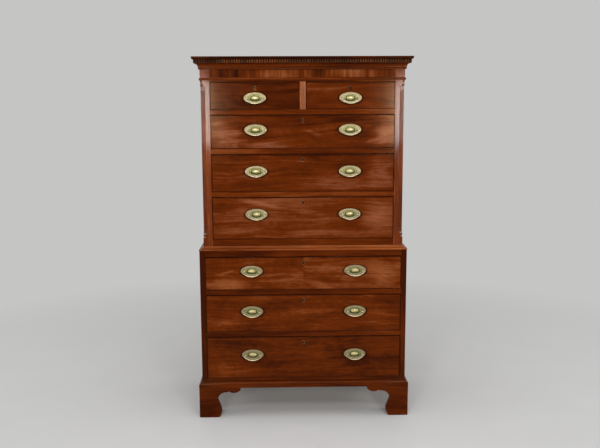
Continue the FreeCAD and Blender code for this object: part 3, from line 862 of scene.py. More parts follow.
@dataclass(frozen=True)
class Crossband:
    """Veneer laid in short upright leaves, each cut from another place in the log."""

    name: str
    leaf: float = 0.030
    blooms: tuple[Bloom, ...] = ()

    def build(self) -> Material:
        """Lays the finish out: a tone for each leaf, soft clouds, upright grain and fine joints.

        Returns:
            The material.
        """
        paint = Paint(self.name)
        place = paint.place()
        x, y, z = paint.parts(place)
        wander = paint.noise(place, (9.0, 1.0, 1.0), 1.0)
        along = paint.plus(paint.math("DIVIDE", x, self.leaf), paint.times(wander, 3.4))
        pick, seam = paint.boards(along, 0.012)
        shifted = paint.vector(paint.plus(x, paint.times(pick, 9.0)), y, z)
        stripe = paint.noise(shifted, (120.0, 9.0, 4.0), 4.0, 0.6, 0.3)
        cloud = paint.noise(place, (6.0, 2.0, 9.0), 2.0)
        broad = paint.noise(shifted, (34.0, 3.0, 3.0), 2.0, 0.5, 0.6, (2.2, 0, 0))
        tone = paint.plus(paint.times(pick, 0.22), paint.times(stripe, 0.55))
        for part in (cloud, broad):
            tone = paint.plus(tone, paint.swing(part, 0.8))
        for bloom in self.blooms:
            tone = paint.plus(tone, Mahogany.bloom_field(paint, place, stripe, bloom))
        colour = paint.ramp(paint.minus(tone, 0.08, clamp=True), (0.0, (0.030, 0.0052, 0.0008)),
                            (0.45, (0.120, 0.021, 0.0016)), (1.0, (0.33, 0.105, 0.036)))
        colour = paint.mix(paint.times(seam, 0.4), colour, (0.022, 0.005, 0.0015))
        pits = paint.level(paint.noise(shifted, (1400.0, 900.0, 70.0), 1.0), 0.62, 0.72)
        colour = paint.mix(paint.times(pits, 0.5), colour, PORE)
        # corners and crevices are darkened here as painted shade
        return paint.finish(Base_Color=paint.corner_shaded(colour), Roughness=0.08, Specular_IOR_Level=0.045,
                            Specular_Tint=CLEAR, Normal=paint.bump(stripe, 0.00012, 0.3))


@dataclass(frozen=True)
class PlainWood:
    """Unpolished drawer lining or board, with rings and stains.

    Where plank is given, it is the width of upright boards that stand side by side, each with its own tone.
    """

    name: str
    pale: Colour
    deep: Colour
    grain: Grain = Grain.ALONG_Y
    plank: float = 0.0

    def build(self) -> Material:
        """Lays the finish out. Rings are the sine of stretched noise, so that they close up and open out.

        Returns:
            The material.
        """
        paint = Paint(self.name)
        place = paint.grain_space(self.grain)
        slow = paint.noise(place, (0.9, 7.0, 7.0), 2.0, 0.5, 0.4)
        ring = paint.math("SINE", paint.times(slow, 46.0))
        fine = paint.noise(place, (9.0, 260.0, 260.0), 3.0, 0.6)
        stain = paint.noise(place, (3.0, 4.0, 4.0), 4.0, 0.6, 0.8, (0, 5, 0))
        tone = paint.plus(paint.times(ring, 0.13), paint.times(fine, 0.55))
        tone = paint.plus(tone, paint.times(stain, 0.5))
        gap: Value = 0.0
        if self.plank:
            across = paint.parts(paint.place())[0]
            pick, gap = paint.boards(paint.math("DIVIDE", across, self.plank), 0.006)
            tone = paint.plus(tone, paint.times(pick, 0.25))
        colour = paint.ramp(paint.minus(tone, 0.05, clamp=True), (0.1, self.deep), (0.95, self.pale))
        if self.plank:
            colour = paint.mix(paint.times(gap, 0.85), colour, (0.02, 0.012, 0.007))
        return paint.finish(Base_Color=colour, Roughness=paint.level(fine, 0.3, 0.7, 0.55, 0.75),
                            Specular_IOR_Level=0.3, Normal=paint.bump(fine, 0.0002, 0.5))


@dataclass(frozen=True)
class Brass:
    """Old lacquered brass, darker and greener in its hollows, which the mesh marks as its attribute hollow.
    On the plates that attribute also holds painted shade below the boss and at the outer edge.

    A plate's UV map holds the share of the way from its middle to its rim: the rim is worn to a warmer tone,
    and the band between the boss and the rim keeps a green film. Boss and rim say over which shares the one
    ends and the other begins. Reach is how far off a surface still shuts a corner in.
    """

    name: str
    bright: Colour = (0.60, 0.52, 0.24)
    warm: Colour = (0.67, 0.475, 0.29)
    film: Colour = (0.38, 0.335, 0.16)
    tarnish: Colour = (0.038, 0.044, 0.016)
    rough: float = 0.32
    reach: float = 0.003
    boss: tuple[float, float] = (0.36, 0.50)
    rim: tuple[float, float] = (0.74, 0.84)

    def build(self) -> Material:
        """Lays the finish out: bright metal mixed with tarnish by the depth of the hollow and soft noise.

        Returns:
            The material.
        """
        paint = Paint(self.name)
        place = paint.place()
        deep = paint.node("ShaderNodeAttribute", {"attribute_name": "hollow"})
        spots = paint.noise(place, (260.0, 260.0, 260.0), 4.0, 0.65, 0.5)
        cloud = paint.noise(place, (45.0, 45.0, 45.0), 2.0)
        grime = paint.plus(deep.outputs["Fac"], paint.times(paint.crevice(self.reach), 0.8))
        share = paint.plus(grime, paint.swing(spots, 0.6, 0.52), clamp=True)
        outward = paint.run_map()[0]
        rim = paint.level(outward, *self.rim)
        worn = paint.plus(rim, paint.level(cloud, 0.35, 0.65, -0.2, 0.2), clamp=True)
        band = paint.times(paint.level(outward, *self.boss), paint.level(outward, *self.rim, 0.85, 0.0))
        metal = paint.mix(band, paint.mix(worn, self.bright, self.warm), self.film)
        return paint.finish(Base_Color=paint.mix(share, metal, self.tarnish),
                            Metallic=paint.level(share, 0.3, 1.0, 1.0, 0.75),
                            Roughness=paint.plus(paint.times(share, 0.3), self.rough),
                            Normal=paint.bump(spots, 0.00008, 0.4))


@dataclass(frozen=True)
class Iron:
    """Dull wrought iron of bolts, screws and nuts."""

    name: str

    def build(self) -> Material:
        """Lays the finish out: dark grey metal with brown freckles.

        Returns:
            The material.
        """
        paint = Paint(self.name)
        freckle = paint.noise(paint.place(), (300.0, 300.0, 300.0), 4.0, 0.6)
        share = paint.level(freckle, 0.5, 0.68)
        colour = paint.mix(share, (0.26, 0.25, 0.24), (0.12, 0.055, 0.03))
        return paint.finish(Base_Color=colour, Metallic=paint.level(share, 0.0, 1.0, 0.9, 0.3),
                            Roughness=paint.level(share, 0.0, 1.0, 0.42, 0.8),
                            Normal=paint.bump(freckle, 0.0001, 0.5))


def finishes() -> dict[str, Material]:
    """Makes every finish but those of the drawer fronts.

    Returns:
        The materials by their names.
    """
    made = (
        # the dark full-width bands along the rails are painted shade at the gaps next to the drawers; the
        # band at 1.385 m only lightens that rail
        Mahogany("rail_mahogany", tone=-0.04, figure=0.4, seed=2.3, blooms=(
            Bloom(0.0, 0.91, 3.0, 0.05, -0.14), Bloom(0.0, 1.17, 3.0, 0.03, -0.08),
            Bloom(0.0, 1.385, 3.0, 0.03, 0.10), Bloom(0.0, 1.735, 3.0, 0.02, -0.25),
            Bloom(0.0, 1.573, 3.0, 0.03, -0.10))),
        # the lower rails are darker than the upper ones as painted shade
        Mahogany("low_rail_mahogany", tone=-0.24, figure=0.4, seed=4.9),
        # the muntin's lighter tone and light colour are a painted highlight
        Mahogany("muntin_mahogany", Grain.UPRIGHT, tone=0.42, figure=0.3, seed=1.1, polish=CLEAR,
                 light=(0.40, 0.145, 0.062)),
        Mahogany("upright_mahogany", Grain.UPRIGHT, tone=0.10, figure=0.35, seed=5.1, gloss=0.18,
                 polish=CLEAR),
        Mahogany("side_mahogany", Grain.UPRIGHT, tone=-0.22, figure=0.6, seed=8.4),
        Mahogany("edge_mahogany", Grain.UPRIGHT, tone=-0.52, figure=0.3, seed=3.9),
        Mahogany("foot_mahogany", tone=-0.24, figure=0.5, seed=6.6, blooms=(
            Bloom(-0.487, 0.032, 0.020, 0.012, -0.5),)),
        Mahogany("base_mahogany", Grain.ALONG_RUN, tone=-0.42, figure=0.4, seed=1.7),
        # the waist moulding's light tone is a painted highlight along its top
        Mahogany("waist_mahogany", Grain.ALONG_RUN, tone=0.30, figure=0.4, seed=6.1),
        # the narrow dark band high on the bed moulding, just under the dentils, is a painted shadow
        Mahogany("bed_mahogany", Grain.ALONG_RUN, tone=-0.20, figure=0.4, seed=3.2,
                 blooms=(Bloom(1.0, 0.0455, 4.0, 0.005, -0.6),)),
        Mahogany("crown_mahogany", Grain.ALONG_RUN, tone=-0.60, figure=0.4, seed=7.7, gloss=0.02,
                 dark=(0.024, 0.0042, 0.0008)),
        Mahogany("astragal_mahogany", Grain.ALONG_RUN, tone=-0.24, figure=0.4, seed=5.7, gloss=0.10),
        Mahogany("dentil_mahogany", Grain.UPRIGHT, tone=-0.10, figure=0.3, seed=9.2, rough=0.3, gloss=0.03,
                 dark=(0.030, 0.011, 0.005), middle=(0.080, 0.032, 0.015)),
        # the strip behind the dentils is near black as painted shade in the gaps
        Mahogany("dentil_ground_mahogany", Grain.ALONG_X, tone=-0.60, figure=0.2, seed=2.8, rough=0.4,
                 gloss=0.0, dark=(0.003, 0.0015, 0.0008), middle=(0.008, 0.004, 0.002)),
        Crossband("frieze_crossband", blooms=(
            Bloom(-0.13, 1.775, 0.15, 0.10, 0.30), Bloom(-0.42, 1.775, 0.07, 0.10, 0.06),
            Bloom(-0.33, 1.77, 0.03, 0.10, -0.12), Bloom(0.065, 1.775, 0.035, 0.10, -0.28),
            Bloom(0.27, 1.78, 0.16, 0.10, 0.30))),
        PlainWood("upper_pine_planks", (0.36, 0.225, 0.115), (0.15, 0.083, 0.040), Grain.UPRIGHT, 0.2445),
        PlainWood("lower_pine_planks", (0.32, 0.20, 0.10), (0.125, 0.069, 0.034), Grain.UPRIGHT, 0.2515),
        PlainWood("pine_boards", (0.36, 0.225, 0.115), (0.15, 0.083, 0.040), Grain.ALONG_X),
        PlainWood("oak_lining", (0.40, 0.275, 0.15), (0.19, 0.115, 0.055)),
        # the cockbead is a dark-stained bead, made darker still as painted shade of the gaps round the
        # drawers
        Mahogany("bead_mahogany", Grain.ALONG_RUN, tone=-0.42, figure=0.3, seed=4.4),
        Brass("lacquered_brass"),
        Brass("bail_brass", (0.66, 0.54, 0.36), (0.60, 0.51, 0.32)),
        Brass("thread_brass", (0.34, 0.19, 0.10), (0.28, 0.15, 0.08)),
        # the lock is near black, with a long reach into its corners, as painted shade inside the keyhole
        Brass("lock_brass", (0.12, 0.07, 0.03), (0.10, 0.055, 0.025), tarnish=(0.008, 0.003, 0.001),
              rough=0.4, reach=0.03),
        Iron("dull_iron"),
    )
    return {finish.name: finish.build() for finish in made}


# ------------------------------------------------------------------ mouldings
@dataclass
class Moulding:
    """A run of moulding round the front and both sides of a case, mitred at its front corners.

    The profile is a closed outline of (reach from the case, height). A point of the run is the corner of the
    case plus its outward direction times the reach, and the direction at a corner is the sum of both sides'.
    """

    name: str
    half: float
    front: float
    back: float
    profile: np.ndarray

    def shape(self) -> Shape:
        """Works out the run as a grid of four mitred profiles.

        Returns:
            The shape, closed round the profile and capped at both ends.
        """
        corners = np.array([[-self.half, self.back], [-self.half, self.front], [self.half, self.front],
                            [self.half, self.back]])
        outward = np.array([[-1, 0], [-1, -1], [1, -1], [1, 0]], float)
        reach, height = self.profile[:, 0], self.profile[:, 1]
        plan = corners[:, None, :] + outward[:, None, :] * reach[None, :, None]
        points = np.concatenate([plan, np.broadcast_to(height, plan.shape[:2])[..., None]], -1)
        side = self.back - self.front
        along = np.array([0.0, side, side + 2 * self.half, 2 * side + 2 * self.half])
        uv = np.stack(np.meshgrid(along, run_of(self.profile), indexing="ij"), -1)
        return Shape().grid(points, close_columns=True, uv=uv, cap_rows=True)

    def build(self, material: Material, stands_for: Sequence[str] = ()) -> Object:
        """The moulding as a piece on the case, which stands for some CAD nodes."""
        mesh = self.shape().closed_mesh(self.name, 32)
        return piece(self.name, mesh, "case", material, stands_for)


@dataclass
class Case:
    """Both cases: their boards, posts, rails, mouldings and feet.

    The feet of the mouldings are their heights above the floor in mm, and the other sizes are in metres.
    """

    upper_half: float = 0.509
    upper_front: float = -0.2365
    lower_half: float = 0.5295
    lower_front: float = -0.2565
    back: float = 0.2765
    base_foot: float = 160.0
    waist_foot: float = 884.0
    astragal_foot: float = 1737.0
    bed_foot: float = 1790.0
    crown_foot: float = 1838.0

    def softened(self, node: str, material: Material, width: float, name: str = "",
                 keep: Callable[[int, int], bool] = lambda i, n: True) -> Object:
        """A copy of a CAD node, or of some of its solids, with eased arrises.

        Args:
            node: the CAD node.
            material: the copy's finish.
            width: how far its arrises are eased.
            name: the piece's name. A piece without one is named after the node and stands for it.
            keep: says of solid i of n whether it belongs to the piece.

        Returns:
            The piece.
        """
        mesh = copy_of(node, keep)
        made = piece(name or node + "_dressed", mesh, "case", material, () if name else (node,))
        smooth(mesh, CRISP)
        return eased(made, width)

    def lipped(self, made: Object, material: Material) -> Object:
        """Gives a board's front edge, whose faces look along -Y, a finish of its own.

        Args:
            made: the board.
            material: the finish of its edge.

        Returns:
            The board.
        """
        mesh = made.data
        mesh.materials.append(material)
        normals = np.zeros(len(mesh.polygons) * 3, np.float32)
        mesh.polygons.foreach_get("normal", normals)
        mesh.polygons.foreach_set("material_index", (normals[1::3] < -0.9).astype(np.int32))
        return made

    def mouldings(self, wood: dict[str, Material]) -> None:
        """Makes the cornice, waist and base mouldings, and the frieze above the astragal.

        Args:
            wood: the finishes.
        """
        z = self.astragal_foot
        astragal = outline((0, z), (2, z), (2, z + 2.2), ((4.6, z + 7.0), (2, z + 11.8)), (2, z + 14),
                           (0, z + 14))
        z = self.bed_foot
        bed = outline((0, z), (4.4, z), ((5.8, z + 1.4), (6, z + 4)), (6, z + 8), (8, z + 8.4),
                      ((12.4, z + 23.8), (24, z + 28.5)), (26, z + 28.5), (26, z + 32), (0, z + 32))
        z = self.crown_foot
        crown = outline((-20, z), (29, z), ((33.8, z + 1.4), (35.6, z + 5)), (36.6, z + 5.4),
                        ((37.0, z + 9.5), (36.4, z + 14)), (-20, z + 14))
        z = self.waist_foot
        waist = outline((0.2, z), (20.6, z), ((22.5, z + 3.6), (19.8, z + 8.2)), (18.6, z + 8.6),
                        ((6.6, z + 12.6), (2.4, z + 19)), (1.6, z + 21), (0.2, z + 21))
        z = self.base_foot
        base = outline((0, z), (16, z), (16, z + 15.6), ((15.5, z + 16.3), (14.9, z + 16.5)),
                       ((11.4, z + 26.2), (4.2, z + 30)), (4, z + 32), (0, z + 32))
        upper, lower = (self.upper_half, self.upper_front), (self.lower_half, self.lower_front)
        for name, case, profile, finish, nodes in (
                ("astragal", upper, astragal, "astragal_mahogany", ()),
                ("bed_moulding", upper, bed, "bed_mahogany", ()),
                ("crown", upper, crown, "crown_mahogany", ()),
                ("waist", upper, waist, "waist_mahogany", ("waist_moulding",)),
                ("base", lower, base, "base_mahogany", ("base_moulding",))):
            Moulding(name, *case, self.back, profile * MM).build(wood[finish], nodes)
        frieze = copy_of("cornice", lambda i, n: i == 0)
        piece("frieze", frieze, "case", wood["frieze_crossband"], ("cornice",))

    def build(self, wood: dict[str, Material]) -> None:
        """Dresses or replaces every node of the case.

        Args:
            wood: the finishes.
        """
        self.mouldings(wood)
        self.lipped(self.softened("lower_sides", wood["side_mahogany"], 0.0012), wood["edge_mahogany"])
        self.softened("upper_sides", wood["side_mahogany"], 0.0008)
        self.softened("upper_corner_posts", wood["upright_mahogany"], 0.0005)
        self.softened("lower_rails", wood["low_rail_mahogany"], 0.0004)
        self.softened("upper_rails", wood["rail_mahogany"], 0.0004, keep=lambda i, n: i != MUNTIN)
        self.softened("upper_rails", wood["muntin_mahogany"], 0.0004, name="muntin",
                      keep=lambda i, n: i == MUNTIN)
        self.softened("dentil_course", wood["dentil_mahogany"], 0.0004, keep=lambda i, n: i >= DENTIL_GROUND)
        self.softened("dentil_course", wood["dentil_ground_mahogany"], 0.0004, name="dentil_ground",
                      keep=lambda i, n: i < DENTIL_GROUND)
        for feet in ("front_feet", "back_feet"):
            self.softened(feet, wood["foot_mahogany"], 0.0012)
        for case in ("lower", "upper"):
            node = f"{case}_inner_work"
            self.softened(node, wood["pine_boards"], 0.0006, keep=lambda i, n: i not in BACKBOARDS)
            self.softened(node, wood[f"{case}_pine_planks"], 0.0006, f"{case}_backboards",
                          lambda i, n: i in BACKBOARDS)


# ------------------------------------------------------------------ brass
@dataclass
class Handle:
    """An oval plate with a beaded rim and a ribbed boss, two ball-headed posts and a swinging bail.

    Sizes are in mm. Spread and drop place the posts from the plate's middle, pivot is how far the bail's axis
    stands off the front, and flat is from that axis up to the top of the eight-sided pin in the CAD bail.
    The bail is bail_half to either side of its middle, shoulder is the radius of the arc that leads down from
    a pin, and hang is how far the belly is below the axis.
    """

    half_wide: float = 57.15
    half_high: float = 28.5
    spread: float = 37.0
    drop: float = 2.0
    pivot: float = 15.4
    flat: float = 2.0 * math.cos(math.pi / 8)
    bail_half: float = 44.2
    shoulder: float = 14.0
    hang: float = 25.0
    rings: int = 64
    around: int = 192
    beads: int = 56
    ribs: int = 36

    def relief(self, share: np.ndarray, turn: np.ndarray) -> tuple[np.ndarray, np.ndarray]:
        """Works out the plate's face: rim, beads, fluted band, finer beads, sunk ground and domed boss.

        Each is a smooth hump, 1 - ((share - middle) / width) squared. The hollows, which the finish darkens
        as tarnish, are made deeper in the lower half as a painted shadow under the boss and the bail, and the
        outer edge is darkened as painted shade of its bevel, with grime.

        Args:
            share: distance from the middle as a share of the oval, 0 to 1.
            turn: how far round the rim, 0 to 1, by the rim's own length.

        Returns:
            Height in mm, and how much of it is hollow, 0 to 1.
        """
        def hump(middle: float, width: float) -> np.ndarray:
            """A round hump across the rim, from 0 to 1."""
            return np.clip(1 - ((share - middle) / width) ** 2, 0, 1)

        wave = np.abs(np.sin(np.pi * self.beads * turn))
        flute = 0.5 + 0.5 * np.cos(4 * np.pi * self.ribs * turn)
        ray = np.cos(2 * np.pi * self.ribs * turn)
        height = (1.15 - 0.40 * np.sqrt(hump(0.50, 0.12)) + 1.0 * np.sqrt(hump(0.945, 0.052))
                  + 0.8 * np.sqrt(hump(0.858, 0.036)) * (0.25 + 0.75 * wave)
                  + np.sqrt(hump(0.73, 0.10)) * (0.40 + 0.25 * flute)
                  + 0.7 * np.sqrt(hump(0.610, 0.022)) * (0.3 + 0.7 * wave)
                  - 0.55 * hump(0.385, 0.035)
                  + 3.3 * np.sqrt(np.clip(1 - (share / 0.355) ** 2, 0, 1)) + 0.25 * hump(0.0, 0.13)
                  + 0.28 * ray * hump(0.24, 0.11))
        # the lower half is weighted here to paint the shadow under the boss and the bail
        below = np.clip(-1.6 * np.sin(2 * np.pi * turn), 0, 1)
        # the hump at share 1.0 paints shade on the outer bevel, with grime; the other humps are tarnish in
        # the relief's hollows
        hollow = (1.2 * hump(0.392, 0.065) + (0.45 + 0.55 * below) * np.sqrt(hump(0.50, 0.095))
                  + 0.9 * hump(0.812, 0.030) + 0.9 * hump(0.903, 0.020) + 1.1 * hump(1.0, 0.080)
                  + np.sqrt(hump(0.72, 0.10)) * (0.50 - 0.40 * flute)
                  + 0.45 * hump(0.24, 0.12) * (0.5 - 0.5 * ray)
                  + 1.0 * np.sqrt(hump(0.858, 0.040)) * (1 - wave)
                  + (1.0 + 0.3 * below) * np.sqrt(hump(0.61, 0.045 + 0.02 * below)) * (1 - 0.8 * wave))
        return height, np.clip(hollow, 0, 1)

    def plate(self) -> Shape:
        """Works out the plate: rings of points from the middle to the rim, the rim's edge and a flat back.

        Returns:
            The shape about the plate's middle, its back at Y = 0.
        """
        half = self.rings // 2
        share = np.concatenate([np.linspace(0.004, 0.60, half), np.linspace(0.62, 0.995, half)])
        fine = np.linspace(0, 2 * np.pi, 4096)
        run = np.hypot(self.half_wide * np.sin(fine), self.half_high * np.cos(fine))
        length = np.concatenate([[0.0], np.cumsum((run[1:] + run[:-1]) / 2)])
        turn = np.arange(self.around) / self.around
        angle = np.interp(turn * length[-1], length, fine)
        s, t = np.meshgrid(share, turn, indexing="ij")
        height, hollow = self.relief(s, t)
        x = self.half_wide * s * np.cos(angle)[None, :]
        z = self.half_high * s * np.sin(angle)[None, :]
        face = np.stack([x, -height, z], -1)
        edge = np.stack([self.half_wide * np.cos(angle), np.full(self.around, -0.7),
                         self.half_high * np.sin(angle)], -1)
        back = edge * np.array([1.0, 0.0, 1.0])
        points = np.concatenate([face, edge[None], back[None]]) * MM
        depth = np.concatenate([hollow, np.ones((2, self.around))])
        out = np.concatenate([share, [1.0, 1.0]])[:, None, None] * np.ones((1, self.around + 1, 2))
        return Shape().grid(points, close_columns=True, uv=out, depth=depth, cap_rows=True)

    def post(self) -> Shape:
        """Works out a post: its profile, of collar, neck and ball head, turned about Y.

        Returns:
            The shape about the middle of its foot.
        """
        swing = np.linspace(-0.86, 1.5, 14)
        ball = np.column_stack([4.15 * np.cos(swing), -self.pivot - 4.15 * np.sin(swing)])
        profile = np.vstack([[[5.3, -0.9], [5.4, -1.6], [5.0, -2.4], [4.0, -2.9], [3.1, -3.6], [2.65, -5.5],
                              [2.6, -8.0], [2.7, -10.6], [3.1, -11.4]], ball])
        turn = np.linspace(0, 2 * np.pi, 24, endpoint=False)
        r, y = profile[:, :1], profile[:, 1:]
        flat = np.ones(len(turn))
        points = np.stack([r * np.cos(turn), y * flat, r * np.sin(turn)], -1) * MM
        hollow = np.clip(1 - np.abs(y + 3.2) / 1.4, 0, 1) * 0.7
        return Shape().grid(points, close_columns=True, cap_rows=True, depth=hollow * flat)

    def bail_line(self) -> tuple[np.ndarray, np.ndarray]:
        """Works out the bail's middle line and its radius.

        The line runs along one pin, round a small bend, a shoulder arc and the flat belly arc, and back. The
        radius swells towards the middle of the belly as a raised cosine.

        Returns:
            Points in X and Z (n, 2), and the radius at each.
        """
        shoulder, hang = self.shoulder, self.hang
        centre = self.bail_half - shoulder
        belly = (centre ** 2 + hang ** 2 - shoulder ** 2) / (2 * (hang - shoulder))
        meet = math.atan2(centre, belly - hang)
        pin = np.linspace([35.6, 0.0], [41.6, 0.0], 5)
        bend = np.array([[42.6, -0.25], [43.35, -0.85], [43.85, -1.8]])
        turn = np.linspace(math.pi / 2 - 0.26, meet, 12)
        side = np.column_stack([centre + shoulder * np.sin(turn), -shoulder * np.cos(turn)])
        low = np.linspace(meet, 0, 16)[1:]
        base = np.column_stack([belly * np.sin(low), belly - hang - belly * np.cos(low)])
        right = np.vstack([pin, bend, side, base])
        line = np.vstack([right, right[-2::-1] * [-1, 1]])
        radius = 1.62 + 0.62 * np.clip(np.cos(np.pi * line[:, 0] / 88.0), 0, 1) ** 2
        blend = np.clip((-line[:, 1]) / 9.0, 0, 1)
        return line, 1.95 * (1 - blend) + radius * blend

    def bail(self) -> Shape:
        """Works out the bail: a round bar carried along its line, each ring square to it.

        Returns:
            The shape about the bail's pivot.
        """
        line, radius = self.bail_line()
        along = np.gradient(line, axis=0)
        along /= np.linalg.norm(along, axis=1)[:, None]
        outward = np.column_stack([along[:, 1], -along[:, 0]])
        turn = np.linspace(0, 2 * np.pi, 18, endpoint=False)
        side = radius[:, None] * np.cos(turn)
        points = np.stack([line[:, :1] + outward[:, :1] * side, radius[:, None] * np.sin(turn),
                           line[:, 1:] + outward[:, 1:] * side], -1) * MM
        return Shape().grid(points, close_columns=True, cap_rows=True)

    def nut(self) -> Shape:
        """Works out the washer, the square nut and the threaded end of a post behind the drawer front.

        Returns:
            The shape, its seat at Y = 0.
        """
        made = Shape()
        for radius, y0, y1, sides in ((6.5, 0.0, 0.9, 24), (6.2, 0.9, 3.9, 4), (2.0, 3.9, 6.4, 16)):
            turn = 2 * np.pi * (np.arange(sides) + 0.5) / sides
            ring = np.column_stack([radius * np.cos(turn), np.zeros(sides), radius * np.sin(turn)])
            made.prism((ring + [0, y0, 0]) * MM, (ring + [0, y1, 0]) * MM)
        return made.single()


@dataclass
class Escutcheon:
    """A brass thread let in round a keyhole: a round eye over a flaring stem."""

    eye: float = 5.6
    stem: float = 3.2
    flare: float = 4.8
    drop: float = 13.0
    seat: float = 0.6

    def outline(self, grow: float) -> np.ndarray:
        """Works out the keyhole's outline: an arc about the eye, and the stem's two slightly cut corners.

        Args:
            grow: how much larger it is drawn, in mm.

        Returns:
            A closed line about the eye's middle (n, 2).
        """
        eye, stem = self.eye + grow, self.stem + grow
        start = math.degrees(math.asin(stem / eye))
        arc = round_arc((0, 0), eye, -90 + start, 270 - start, 34)
        flare, foot = self.flare + grow, -self.drop - grow
        corner = outline((-flare, foot + 1.2), (-flare + 1.2, foot))
        return np.vstack([arc, corner, corner[::-1] * [-1, 1]])

    def shape(self) -> Shape:
        """Works out the ring: the outline grown step by step, up from the seat over a rounded face and down.

        Returns:
            The shape about the eye's middle.
        """
        steps = ((0.0, self.seat), (0.0, -0.25), (0.3, -0.5), (0.7, -0.5), (1.0, -0.2), (1.0, self.seat))
        rings = [self.outline(grow) for grow, _ in steps]
        points = np.stack([np.column_stack([ring[:, 0], np.full(len(ring), y), ring[:, 1]])
                           for ring, (_, y) in zip(rings, steps)]) * MM
        return Shape().grid(points, close_rows=True, close_columns=True)

    def cutter(self, depth: float) -> Mesh:
        """Makes what is cut from the front and the lock for the keyhole, inside the thread.

        Args:
            depth: how far in it reaches, in mm.

        Returns:
            The cutter's mesh about the eye's middle.
        """
        ring = self.outline(0.02)
        near = np.column_stack([ring[:, 0], np.full(len(ring), -2.0), ring[:, 1]])
        far = near * [1, 0, 1] + [0, depth, 0]
        return Shape().prism(near * MM, far * MM).closed_mesh("keyhole_cutter")


